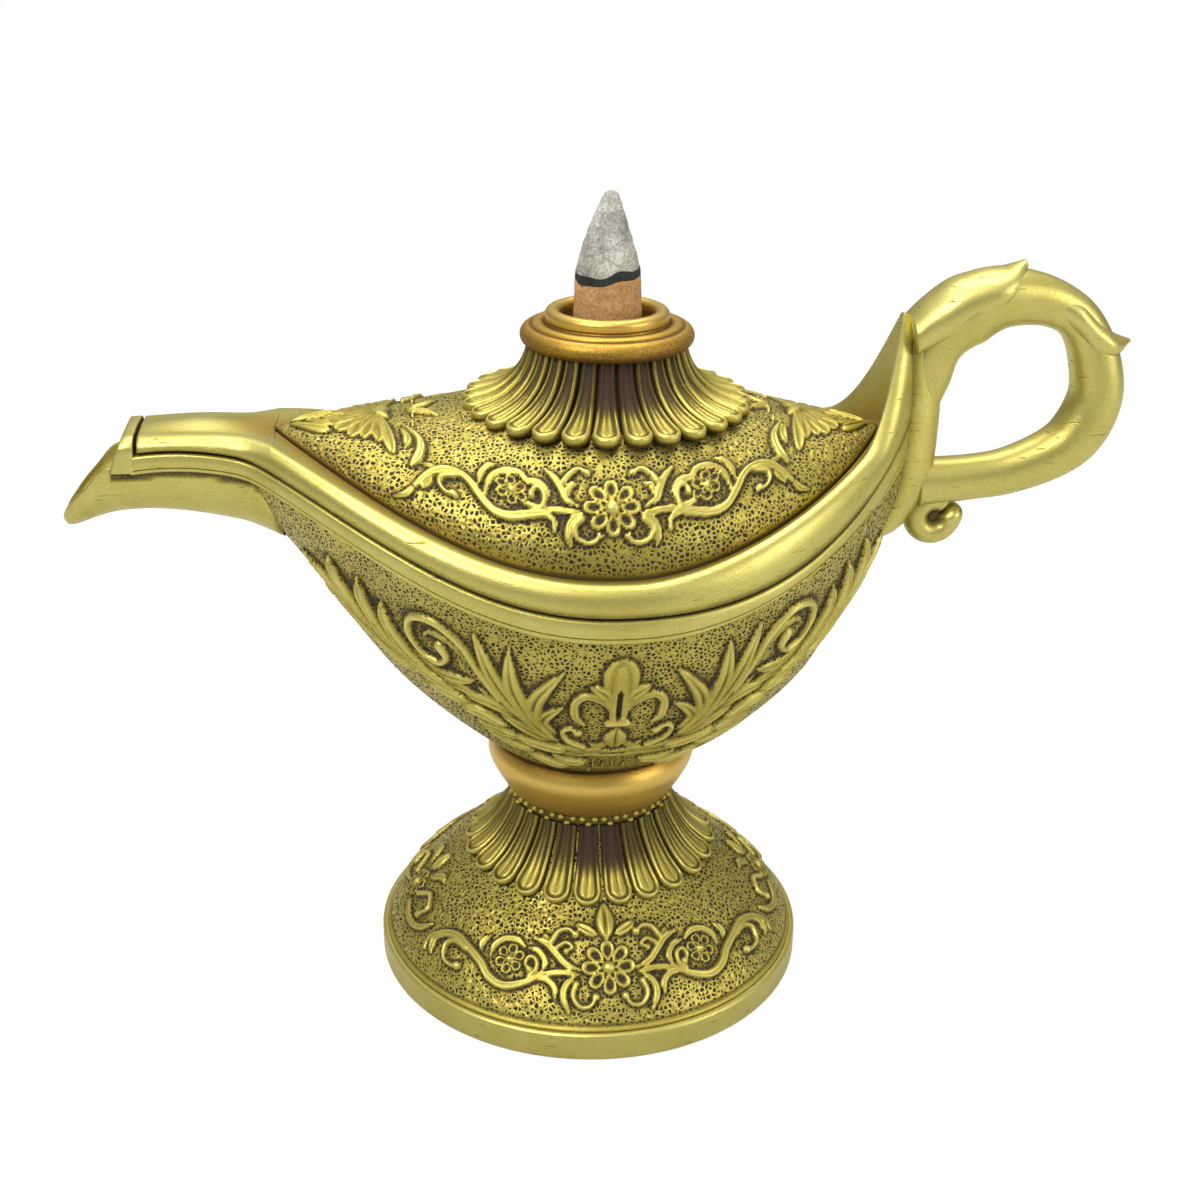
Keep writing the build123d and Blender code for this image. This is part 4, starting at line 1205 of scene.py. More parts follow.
@dataclass
class Lid:
    """Pointed dome with floral relief, petals, collar and socket."""

    axis_x: float = 2.0
    bow: float = 55.8
    stern: float = 51.2
    half_width: float = 35.0
    shell: float = 2.8
    drop: float = 2.1
    crown: float = 110.8
    bow_end: float = 107.9
    stern_end: float = 105.4
    swell: float = 5.4
    swell_reach: float = 20.0
    throat: float = 11.4
    petals: int = 28
    petal_height: float = 1.35
    petal_sink: float = 0.3
    petal_reach: float = 25.2
    petal_foot: float = 110.6

    def ridge(self, x: np.ndarray) -> np.ndarray:
        """Height of the dome's ridge.

        Args:
            x: places along the lamp.

        Returns:
            The heights.
        """
        away = x - self.axis_x
        end = np.where(away < 0, self.bow_end, self.stern_end)
        share = np.abs(away) / np.where(away < 0, self.bow + self.axis_x, self.stern - self.axis_x)
        return (end + (self.crown - end) * (1 - share ** 2)
                + self.swell * np.exp(-(away / self.swell_reach) ** 2))

    def section(self, x: np.ndarray, turn: np.ndarray, inset: float = 0.0) -> np.ndarray:
        """Places of the dome.

        Args:
            x: places along the lamp, one to a row.
            turn: 0 at the front edge to pi at the back edge.
            inset: how far inside the outer form.

        Returns:
            Rows by columns of places.
        """
        width = np.maximum(pointed_width(x, self.bow, self.stern, self.half_width) - inset, 0.02)[:, None]
        edge = LID_EDGE.at(x)[:, None]
        rise = self.ridge(x)[:, None] - edge - inset
        return places_of(x[:, None], -width * np.cos(turn), edge + rise * np.sin(turn))

    def ornament(self) -> tuple:
        """Flower spray and shells of each side.

        Returns:
            Strokes and flowers by distance along the lamp and distance up from the edge.
        """
        spray = []
        for points, width, height, form in (
                (((-20.8, 10.5), (-20.2, 13), (-19, 15), (-17, 16.5), (-15, 16.5), (-14, 15.2), (-12, 15.2),
                  (-10.8, 13.5), (-11.5, 11.5)), 0.75, 0.85, VINE),
                (((-21.8, 12), (-21.2, 14.5), (-20, 16.5), (-18.7, 17.5)), 0.65, 0.8, VINE),
                (((-14.3, 11), (-12, 10.8), (-11.3, 12.5), (-11.7, 14), (-12.7, 14.2), (-13.5, 12.8)),
                 0.7, 0.8, CURL),
                (((-10, 7.5), (-10, 9), (-11.5, 9.9), (-14, 9.2), (-17, 8.2), (-19.5, 8.3), (-21.5, 10),
                  (-23, 12), (-24.5, 12.9), (-26.5, 12.8), (-28.5, 11.5), (-30.5, 9), (-32, 6.5)),
                 0.95, 0.95, VINE),
                (((-32, 6.8), (-33.5, 4.2), (-36, 2.2)), 0.5, 0.6, LEAF),
                (((-25.5, 12.2), (-27.5, 11), (-28, 9.3), (-27, 8.2), (-25.8, 8.5)), 0.7, 0.8, CURL),
                (((-28, 12.3), (-31, 11.8)), 0.6, 0.7, LEAF),
                (((-29, 10.5), (-31, 6.5)), 0.7, 0.7, LEAF),
                (((-12, 10.7), (-8, 10.8), (-5, 10.5)), 0.7, 0.8, VINE),
                (((-6, 10.3), (-7.3, 9), (-7.8, 7), (-7.5, 5.2)), 0.7, 0.8, VINE),
                (((-5.5, 9.8), (-6.7, 8.5), (-6.5, 6.8), (-5, 6), (-3.5, 6.3), (-2.6, 7.6)),
                 0.7, 0.8, CURL),
                (((-11, 18), (-9.5, 16.5), (-8.5, 14.5), (-7.8, 12.8), (-6, 11.8)), 0.75, 0.85, VINE),
                (((-8.2, 15.8), (-7, 17.5), (-5.5, 18.5), (-4.2, 17.8)), 0.65, 0.8, CURL),
                (((-7.5, 13.5), (-7.2, 15.2), (-6, 15.8)), 0.6, 0.7, VINE)):
            for side in (-1, 1):
                mirrored = tuple((-0.5 - side * (s + 0.5), t) for s, t in points)
                spray.append(Stroke(mirrored, width, height, form))
        return tuple(spray) + (Flower((-0.5, 11.8), 4.8, 8, 1.0, 1.3), Flower((-16.5, 13), 2.8, 6, 0.8, 0.8),
                               Flower((15.5, 13), 2.8, 6, 0.8, 0.8)) + self.shells()

    def shells(self) -> tuple:
        """Scallop shell with its border and leaf tail at each end of the dome.

        Returns:
            The strokes.
        """
        strokes = []
        for end, apex, span in ((-1, 38.0, 1.0), (1, 36.0, 0.93)):
            def place(s: float, t: float) -> tuple:
                """A point measured at the spout's end, moved to this end."""
                return end * (apex + (s - 38.0) * span), t

            for s, t in ((47.5, 10), (45.2, 10), (42.8, 10.2), (40.6, 11.6), (38, 12.6), (35.6, 11)):
                middle = (0.5 * (s + 38.2), 0.5 * (t + 24) + 0.8)
                strokes.append(Stroke((place(38.2, 23.5), place(*middle), place(s, t)), 1.35, 1.0, LOBE))
            strokes += [
                Stroke((place(38.2, 22), place(38.2, 25.5)), 2.2, 1.1, BUD),
                Stroke((place(33.5, 21), place(31, 18), place(31, 14), place(32.5, 10.3)), 0.9, 0.95, VINE),
                Stroke((place(34, 20), place(33, 17), place(33.5, 14)), 0.8, 0.8, LEAF),
                Stroke((place(32, 23), place(32.1, 23)), 1.2, 0.9, BUD),
                Stroke((place(32, 27), place(32.1, 27)), 1.2, 0.9, BUD),
                Stroke((place(33, 28), place(30, 29.5), place(27.5, 29)), 1.0, 0.8, LEAF),
                Stroke((place(46, 9.5), place(49, 7.2), place(53, 4.0)), 1.3, 0.8, LEAF),
                Stroke((place(45.5, 12), place(48.5, 10), place(51, 8.6)), 1.1, 0.8, LEAF),
                Stroke((place(43, 15), place(46.5, 14), place(49, 11.8)), 1.1, 0.8, LEAF)]
        return tuple(strokes)

    def build(self, finishes: Finishes) -> None:
        """Casts the lid's pieces."""
        self.build_dome(finishes)
        self.build_petals(finishes)
        self.build_collar(finishes)
        self.build_lip(finishes)

    def build_dome(self, finishes: Finishes) -> None:
        """Pitted dome with an open throat under the collar."""
        reach = np.linspace(0, 1, 400)
        crowded = 0.35 * np.cos(math.pi * reach) + 0.65 * (1 - 2 * reach)
        x = 0.5 * (self.stern - self.bow) - 0.5 * (self.stern + self.bow) * crowded
        grid = self.section(x, np.linspace(0, math.pi, 236)[None, :])
        girth = np.pad(np.cumsum(np.linalg.norm(np.diff(grid, axis=1), axis=2), axis=1), ((0, 0), (1, 0)))
        folded = np.minimum(girth, girth[:, -1:] - girth)
        relief = Relief(grid, x[:, None], folded, 1.0, 1.0, False)
        relief.normal *= np.sign(relief.normal[..., 2].mean())
        relief.carve(self.ornament())
        relief.stipple(eased((folded - 0.4) / 0.8))
        relief.height *= eased(girth[:, -1:] / 8)
        # Painted shade: the dome darkens along its edge, in the gap beside the rim.
        wear_and_shade = relief.wear_and_shade() * (0.35 + 0.65 * eased((folded + 0.3) / 1.2))
        outer = relief.raised()
        inner = self.section(x, np.linspace(math.pi, 0, 48)[None, :], self.shell)
        foot = (0, 0, 1) * (LID_EDGE.at(x)[:, None, None] - self.drop)
        front, back, inner_back, inner_front = (
            edge * (1, 1, 0) + foot for edge in (outer[:, :1], outer[:, -1:], inner[:, :1], inner[:, -1:]))
        loop = np.hstack([front, outer, back, inner_back, inner, inner_front])
        beside = ((0, 0), (1, loop.shape[1] - outer.shape[1] - 1))
        # Painted shade: the walls that drop into the rim are dark, and the hidden underside is darker than
        # the ground.
        shades = np.pad(wear_and_shade, ((0, 0), (1, 1)), constant_values=0.05)
        shades = np.pad(shades, ((0, 0), (0, inner.shape[1] + 2)), constant_values=0.35)
        dome = Casting("lid_dome_cast")
        dome.skin(loop, shades, ring=True, pitted=np.pad(relief.bare, beside),
                  warm_and_shade=np.pad(0.35 * (1 - eased((folded - 1) / 6)), beside))
        faces = np.vstack(dome.faces)
        centre = np.vstack(dome.places)[faces].mean(1)
        dome.faces = [faces[np.hypot(centre[:, 0] - self.axis_x, centre[:, 1]) > self.throat]]
        throat = np.array(((11.0, 112.0), (12.2, 112.0), (12.2, 117.0), (11.0, 117.0)))
        # The throat under the collar gets the same painted shade.
        dome.skin(turned(throat, 96, self.axis_x), 0.35, ring=True, loop=True)
        dome.cast("lid", ("lid_dome",), finishes.antique)

    def build_petals(self, finishes: Finishes) -> None:
        """Collar of long fluted petals that spreads over the dome."""
        root = np.array((12.6, 121.6))
        fall = np.array((self.petal_reach, self.petal_foot)) - root
        shares = np.array(((0, 0), (0.06, 0.22), (0.17, 0.46), (0.38, 0.70), (0.66, 0.88), (1, 1)))
        known = root + fall * shares
        run = run_along(known)
        fine = np.linspace(0, run[-1], 120)
        lying = np.stack([between(fine, run, known[:, k]) for k in (0, 1)], 1)
        collar = Casting("lid_petal_collar")
        PetalRing(lying, self.petals, self.petal_height, -self.petal_sink, self.axis_x).add_to(collar)
        bed = np.array(((11.9, 121.6), (12.6, 121.5), (13.3, 118.6), (14.6, 116.2), (17.6, 113.2),
                        (20.5, 111.6), (20.2, 111.0), (11.9, 111.0)))
        collar.skin(turned(bed, 168, self.axis_x), HIDDEN, ring=True, loop=True)
        collar.cast("lid", ("lid_petals",), finishes.antique)

    def build_collar(self, finishes: Finishes) -> None:
        """Stepped cove and rolled ring that hold the socket."""
        roll = np.linspace(math.radians(62), math.radians(-90), 22)
        torus = np.stack([13.35 + 1.85 * np.cos(roll), 123.35 + 1.75 * np.sin(roll)], 1)
        cove = np.array(((8.3, 125.8), (10.7, 125.8), (10.95, 125.35), (11.35, 125.55), (12.1, 125.72),
                         (12.75, 125.6), (13.1, 125.35), (13.2, 125.1), (13.5, 125.0), (13.9, 125.05)))
        inside = np.array(((12.3, 121.6), (12.3, 112.4), (4.0, 112.4), (4.0, 120.4), (8.3, 120.4)))
        profile = np.vstack([cove, torus, inside])
        # Darker in the cove's dips; painted shade on the roll, darkening down to its underside, and on the
        # hidden inside.
        wear_and_shade = np.full(len(profile), 0.55)
        wear_and_shade[2:4] = (0.05, 0.3)
        wear_and_shade[7:9] = (0.2, 0.2)
        wear_and_shade[10:32] = 0.5 - 0.28 * np.linspace(0, 1, 22)
        wear_and_shade[-5:] = 0.15
        collar = Casting("lid_collar_ring")
        collar.skin(turned(profile, 300, self.axis_x), wear_and_shade[:, None], ring=True, loop=True)
        collar.cast("lid", ("lid_collar",), finishes.orange, 55)

    def build_lip(self, finishes: Finishes) -> None:
        """Bright rolled lip round the socket."""
        roll = np.linspace(-0.2, math.pi + 0.2, 20)
        top = np.stack([9.55 + 1.25 * np.cos(roll), 126.9 + 1.1 * np.sin(roll)], 1)
        profile = np.vstack([((8.3, 125.8), (10.75, 125.8), (10.8, 126.2)), top, ((8.3, 126.6),)])
        lip = Casting("socket_lip_ring")
        lip.skin(turned(profile, 240, self.axis_x), 0.85, ring=True, loop=True)
        lip.cast("lid", ("socket_lip",), finishes.orange)


@dataclass
class Rim:
    """Rounded rim with its hood and stern leaf, the girdle band with its strap, and the spout's trough."""

    bow: float = 66.0
    stern: float = 58.0
    half_width: float = 40.5
    hood_end: float = -78.6
    lid_bow: float = -55.8
    lid_stern: float = 51.2
    lid_half_width: float = 35.0
    lid_gap: float = 0.5
    groove_width: float = 0.55
    nose: float = 3.8
    tip_top: float = 126.2
    band_depth: float = 2.0
    # The rim hangs this far behind the band, so that no light shows through the groove.
    skirt: float = 1.3
    seat_depth: float = 2.4
    seat_width: float = 3.1
    crest_height: float = 0.35
    deck_height: float = 0.1
    hood_crest: float = 108.5
    hood_deck: float = 108.7
    strap_length: float = 4.8
    strap_lean: float = 2.4
    strap_half_width: float = 8.4
    trough_start: float = -55.0
    trough_length: float = 37.8
    trough_half_width: float = 8.2
    trough_low: float = 90.8
    trough_height: float = 12.6
    trough_wall: float = 1.7
    lip_top: float = 103.2

    def width(self, x: np.ndarray) -> np.ndarray:
        """Half width of the rim's plan, pointed at the stern and blunt at the hood.

        Args:
            x: places along the lamp.

        Returns:
            The half widths.
        """
        pointed = pointed_width(x, self.bow, self.stern, self.half_width)
        hood = 9.6 - 1.6 * share_of(-np.asarray(x, float), 55.0, 23.6)
        return np.where(x < -27.5, (pointed ** 6 + hood ** 6) ** (1 / 6), pointed)

    def inner(self, x: np.ndarray) -> np.ndarray:
        """Half width of the recess for the lid.

        Args:
            x: places along the lamp.

        Returns:
            The half widths, 0 beyond the lid.
        """
        gap = self.lid_gap
        wide = pointed_width(x, gap - self.lid_bow, self.lid_stern + gap, self.lid_half_width + gap)
        return np.where((x > self.lid_bow - gap) & (x < self.lid_stern + gap), wide, 0.0)

    def crest(self, x: np.ndarray) -> np.ndarray:
        """Height of the rim's rounded crest.

        Args:
            x: places along the lamp.

        Returns:
            The heights.
        """
        along = share_of(-x, -self.lid_bow, self.lid_bow - self.hood_end)
        start = LID_EDGE.at(self.lid_bow) + self.crest_height
        hood = start + (self.hood_crest - start) * along ** 2 + 0.7 * np.sin(math.pi * along)
        tip_rise = self.tip_top - LID_EDGE.at(self.stern) - self.crest_height
        tip = tip_rise * share_of(x, 48.5, 9.3) ** 2.05
        return np.where(x < self.lid_bow, hood, LID_EDGE.at(x) + self.crest_height + tip)

    def stations(self) -> tuple:
        """Matched places along the rim, from the lid's spout end to the stern.

        Returns:
            Places along the outline, and those along the recess.
        """
        bow = np.sin(np.linspace(math.pi / 2, 0, 110))[:-1]
        stern = np.sin(np.linspace(0, math.pi / 2, 120))
        return tuple(
            WIDEST_X + np.concatenate([(bow_end - WIDEST_X) * bow, (stern_end - WIDEST_X) * stern])
            for bow_end, stern_end in ((self.lid_bow, self.stern),
                                       (self.lid_bow - self.lid_gap, self.lid_stern + self.lid_gap)))

    def deck(self, x: np.ndarray) -> np.ndarray:
        """Height of the rim at the recess, or of the hood's middle beyond the lid.

        Args:
            x: places along the lamp.

        Returns:
            The heights.
        """
        along = share_of(-x, -self.lid_bow, self.lid_bow - self.hood_end)
        start = LID_EDGE.at(self.lid_bow) + self.deck_height
        hood = start + (self.hood_deck - start) * along + 1.5 * np.sin(math.pi * along)
        return np.where(x < self.lid_bow, hood, LID_EDGE.at(x) - self.deck_height)

    def strip(self, outer_x: np.ndarray, inner_x: np.ndarray) -> np.ndarray:
        """Upper surface of one side, from the groove over the crest to the recess or the middle.

        Args:
            outer_x: places along the outline, one to a row.
            inner_x: the matching places along the recess.

        Returns:
            Places, rows by 31 columns by 3, on the +Y side.
        """
        width, inner = self.width(outer_x)[:, None], self.inner(inner_x)[:, None]
        across = np.hypot(width - inner, (outer_x - inner_x)[:, None])
        nose = np.minimum(self.nose / np.maximum(across, self.nose), 0.55)
        low = GROOVE.at(outer_x)[:, None] + self.groove_width / 2
        crest, deck = self.crest(outer_x)[:, None], self.deck(inner_x)[:, None]
        turn = np.linspace(0, math.pi / 2, 17)[None, :]
        share = np.linspace(0, 1, 15)[None, 1:]
        fall = 0.5 * (eased(share) + share * (2 - share))
        over = np.hstack([nose * (1 - np.cos(turn) ** 0.8), nose + (1 - nose) * share])
        z = np.hstack([low + (crest - low) * np.sin(turn) ** 0.8, crest + (deck - crest) * fall])
        x = outer_x[:, None] + (inner_x - outer_x)[:, None] * over
        return np.stack([x, width + (inner - width) * over, z], -1)

    def build(self, finishes: Finishes) -> None:
        """Casts the pieces."""
        self.build_rim(finishes)
        self.build_band(finishes)
        self.build_trough(finishes)

    def build_rim(self, finishes: Finishes) -> None:
        """Rim round the lid with the hood over the spout."""
        rim = Casting("upper_rim_cast")
        outer_x, inner_x = self.stations()
        strip = self.strip(outer_x, inner_x)
        x, y, z = np.moveaxis(strip[:, -1:], -1, 0)
        seat = np.minimum(LID_EDGE.at(inner_x)[:, None] - self.seat_depth, z)
        shelf = np.maximum(y - self.seat_width, 0)
        ledge = places_of(x, shelf, seat)
        floor = places_of(x, shelf, np.minimum(seat, strip[:, :1, 2]) - self.skirt)
        back = strip[:, :1] + (ledge - strip[:, :1]) * (0.3, 0.3, 0) - (0, 0, self.skirt)
        loop = np.concatenate([strip, places_of(x, y, seat), ledge, floor, back], 1)
        count = strip.shape[1]
        columns = np.arange(count)
        # Painted shade: the seat, ledge and underside are dark; the strip is dark in the groove under the
        # crest and darker down its slope into the lid's recess.
        wear_and_shade = np.full(loop.shape[:2], 0.04)
        wear_and_shade[:, :count] = SMOOTH - 0.45 * np.exp(-(columns / 0.8) ** 2) - 0.22 * eased((columns - 23) / 7)
        steep = eased((outer_x - 40) / 12)[:, None]
        warm_and_shade = np.zeros(wear_and_shade.shape)
        warm_and_shade[:, :count] = 0.5 * eased((columns - 19) / 10) * (1 - 0.2 * steep)
        for side in (-1, 1):
            rim.skin(loop * (1, side, 1), wear_and_shade, ring=True, warm_and_shade=warm_and_shade)
        self.add_hood(rim)
        rim.cast("burner", ("upper_rim",), finishes.bright, 62)

    def add_hood(self, rim: Casting) -> None:
        """Adds the arched hood beyond the lid's spout end.

        Args:
            rim: the casting that it joins.
        """
        x = np.linspace(self.hood_end + 0.3, self.lid_bow, 48)
        strip = self.strip(x, x)
        strip[:, -1, 1] = 0
        arch = np.concatenate([strip * (1, -1, 1), strip[:, -2::-1]], 1)
        low = arch[:, :1, 2:]
        vault = arch[:, ::-1] * (1, 0.68, 1)
        vault[..., 2:] = low + (vault[..., 2:] - low) * 0.5
        vault[:, (0, -1), 2] -= self.skirt
        count = arch.shape[1]
        edge = np.minimum(np.arange(count), count - 1 - np.arange(count))[None, :]
        near_lid = eased((x + 68) / 12)[:, None]
        # Painted shade: the vault under the hood and its end by the strap are dark; the arch is dark at the
        # groove and darker in its middle near the lid.
        wear_and_shade = np.full((len(x), 2 * count), HIDDEN)
        wear_and_shade[:, :count] = 0.64 - 0.45 * np.exp(-(edge / 0.8) ** 2) - 0.22 * near_lid * eased((edge - 15) / 12)
        wear_and_shade[0, :count] = 0.1
        warm_and_shade = np.zeros(wear_and_shade.shape)
        warm_and_shade[:, :count] = 0.45 * near_lid * eased((edge - 13) / 12)
        places = np.concatenate([arch, vault], 1)
        end = np.concatenate([vault[:1, ::-1], vault[:1]], 1)
        before = ((1, 0), (0, 0))
        rim.skin(np.vstack([end, places]), np.pad(wear_and_shade, before, constant_values=HIDDEN), ring=True,
                 warm_and_shade=np.pad(warm_and_shade, before, mode="edge"))

    def build_band(self, finishes: Finishes) -> None:
        """Flat band under the rim and the strap over the hood's end."""
        band = Casting("girdle_band_cast")
        x = np.concatenate([np.linspace(self.hood_end - 1.0, self.lid_bow, 50)[:-1], self.stations()[0]])
        plan = np.stack([x, -self.width(x)], 1)
        plan = np.vstack([plan, (plan * (1, -1))[::-1][1:]])
        step = np.gradient(plan, axis=0)
        normal = np.stack([step[:, 1], -step[:, 0]], 1)
        normal /= np.maximum(np.linalg.norm(normal, axis=1, keepdims=True), 1e-9)
        low = BAND_FOOT.at(plan[:, 0])[:, None]
        high = GROOVE.at(plan[:, 0])[:, None] - self.groove_width / 2
        offsets = np.array((-0.9, -0.55, -0.05, 0.03, 0.02, -0.16, 0.02, 0.05, 0.04, -0.12, -0.6,
                            -self.band_depth, -self.band_depth))
        shares = np.array((0.0, 0.05, 0.09, 0.14, 0.25, 0.28, 0.31, 0.5, 0.88, 0.95, 1.0, 1.0, 0.0))
        places = places_of(plan[:, :1] + normal[:, :1] * offsets, plan[:, 1:] + normal[:, 1:] * offsets,
                           low + (high - low) * shares)
        # Painted shade under the band's lower edge, along its top by the groove and on its hidden back;
        # darker in its incised line.
        wear_and_shade = np.array((0.02, HIDDEN, 0.4, SMOOTH, 0.6, 0.28, 0.6, SMOOTH, 0.64, 0.4, HIDDEN, HIDDEN,
                         HIDDEN))
        band.skin(places, wear_and_shade, ring=True)
        self.add_strap(band)
        band.cast("burner", ("girdle_band",), finishes.bright, 50)

    def add_strap(self, band: Casting) -> None:
        """Adds the slanted strap that closes the hood's end.

        Args:
            band: the casting that it joins.
        """
        end = np.array([self.hood_end])
        y, z = np.moveaxis(self.strip(end, end)[0, :, 1:], 1, 0)
        foot = float(BAND_FOOT.at(self.hood_end)) + 0.5
        z = np.concatenate([np.linspace(foot, z[0] - 0.2, 4), z])
        y = np.concatenate([[y[0]] * 4, y[:-1], [0.0]])
        y, z = np.concatenate([-y, y[-2::-1]]), np.concatenate([z, z[-2::-1]])
        tall = z.max() - foot
        lean = self.strap_lean * (z - foot) / tall
        start = np.full(z.shape, self.hood_end - 0.3)
        front = self.hood_end - self.strap_length + lean
        outside = [(share, 1 + proud / self.strap_half_width, 1 + proud / tall) for share, proud in (
            (0.0, -0.3), (0.04, 0.0), (0.10, 0.05), (0.5, 0.05), (0.84, 0.02), (0.94, -0.15), (1.0, -0.55),
            (1.0, -1.1))]
        inside = [(1.0, 0.66, 0.62), (0.0, 0.66, 0.62)]
        grid = np.stack([places_of(start + (front - start) * share, y * wide, foot + (z - foot) * high)
                         for share, wide, high in outside + inside])
        # Painted shade: dark where the strap meets the hood, darker over its front face and dark on the
        # hidden inside.
        wear_and_shade = np.array((0.05, 0.45, 0.7, 0.66, 0.7, 0.75, 0.6, 0.3, 0.05, HIDDEN))[:, None]
        band.skin(capped(grid.swapaxes(0, 1)).swapaxes(0, 1), wear_and_shade, loop=True)

    def build_trough(self, finishes: Finishes) -> None:
        """Open trough of the spout with a rounded lip."""
        shares = np.array(((0.0, 1.24, -0.22, 1.0, 0.36), (0.15, 1.17, 0.0, 1.0, 0.36),
                           (0.3, 1.11, 0.12, 1.0, 0.38), (0.47, 1.05, 0.21, 1.0, 0.42),
                           (0.64, 1.0, 0.24, 1.0, 0.45), (0.79, 0.96, 0.19, 0.93, 0.44),
                           (0.86, 0.87, 0.13, 0.7, 0.38), (0.92, 0.72, 0.06, 0.51, 0.29),
                           (0.96, 0.54, 0.025, 0.36, 0.2), (0.985, 0.38, 0.035, 0.26, 0.15),
                           (1.0, 0.2, 0.09, 0.17, 0.13)))
        run = 1 - (1 - np.linspace(0, 1, 90)) ** 1.35
        half, low, lip, floor = (between(run, shares[:, 0], shares[:, k])[:, None] for k in range(1, 5))
        x = (self.trough_start - self.trough_length * run)[:, None]
        half = np.minimum(half * self.trough_half_width, self.width(x) - 0.4)
        low, lip, floor = (self.trough_low + self.trough_height * value for value in (low, lip, floor))
        lip = np.minimum(lip, self.lip_top)
        turn = math.pi / 2 * np.sin(np.linspace(-math.pi / 2, math.pi / 2, 33))[None, :]
        outer_y = half * np.sin(turn)
        outer_z = lip - (lip - low) * np.cos(turn) ** 0.8
        thin = np.minimum(self.trough_wall, half * 0.55)
        inner_turn = turn[:, ::-1]
        inner_y = (half - thin) * np.sin(inner_turn)
        inner_z = lip - np.minimum(lip - low - 1.2, lip - floor) * np.cos(inner_turn) ** 0.8
        round_y = half - thin / 2
        y = np.hstack([outer_y, round_y, inner_y, -round_y])
        z = np.hstack([outer_z, lip + 0.25, inner_z, lip + 0.25])
        places = places_of(x, y, z)
        cap = np.broadcast_to(places[-1].mean(0) + (-0.1, 0, 0), places[-1:].shape)
        outside = turn.shape[1]
        # Painted shade: inside, the trough darkens where it runs under the hood; outside, it darkens under
        # the band's lower edge as its painted shadow, and also where it meets the bowl.
        wear_and_shade = np.full(y.shape, SMOOTH)
        wear_and_shade[:, outside + 1:-1] = 0.5 - 0.45 * eased((x + 84) / 6)
        band_shadow = eased((outer_z - BAND_FOOT.at(x) + 0.95) / 0.25) * (x > self.hood_end - 4.6)
        wear_and_shade[:, :outside] = 0.6 - 0.52 * band_shadow - 0.4 * eased((x + 57) / 2)
        trough = Casting("spout_trough_cast")
        trough.skin(np.vstack([places, cap]), np.pad(wear_and_shade, ((0, 1), (0, 0)), mode="edge"), ring=True)
        trough.cast("burner", ("spout_trough",), finishes.bright, 70)


def swept(centre: np.ndarray, upward: np.ndarray, half_high: np.ndarray, half_wide: np.ndarray,
          columns: int, fullness: float = 1.0) -> np.ndarray:
    """Tube in the lamp's middle plane, closed to a point at both ends.

    Args:
        centre: rows of (x, z) along the tube.
        upward: unit rows of (x, z) across the tube.
        half_high: half height of the section at each row, along upward.
        half_wide: half width of the section at each row, along Y.
        columns: places round the section.
        fullness: 1 for an ellipse, less for a squarer section.

    Returns:
        Places, rows by columns by 3.
    """
    rise, side = (np.sign(wave) * np.abs(wave) ** fullness * half[:, None] for wave, half in (
        (np.sin(around(columns)), half_high), (np.cos(around(columns)), half_wide)))
    return capped(places_of(centre[:, :1] + upward[:, :1] * rise, side, centre[:, 1:] + upward[:, 1:] * rise))


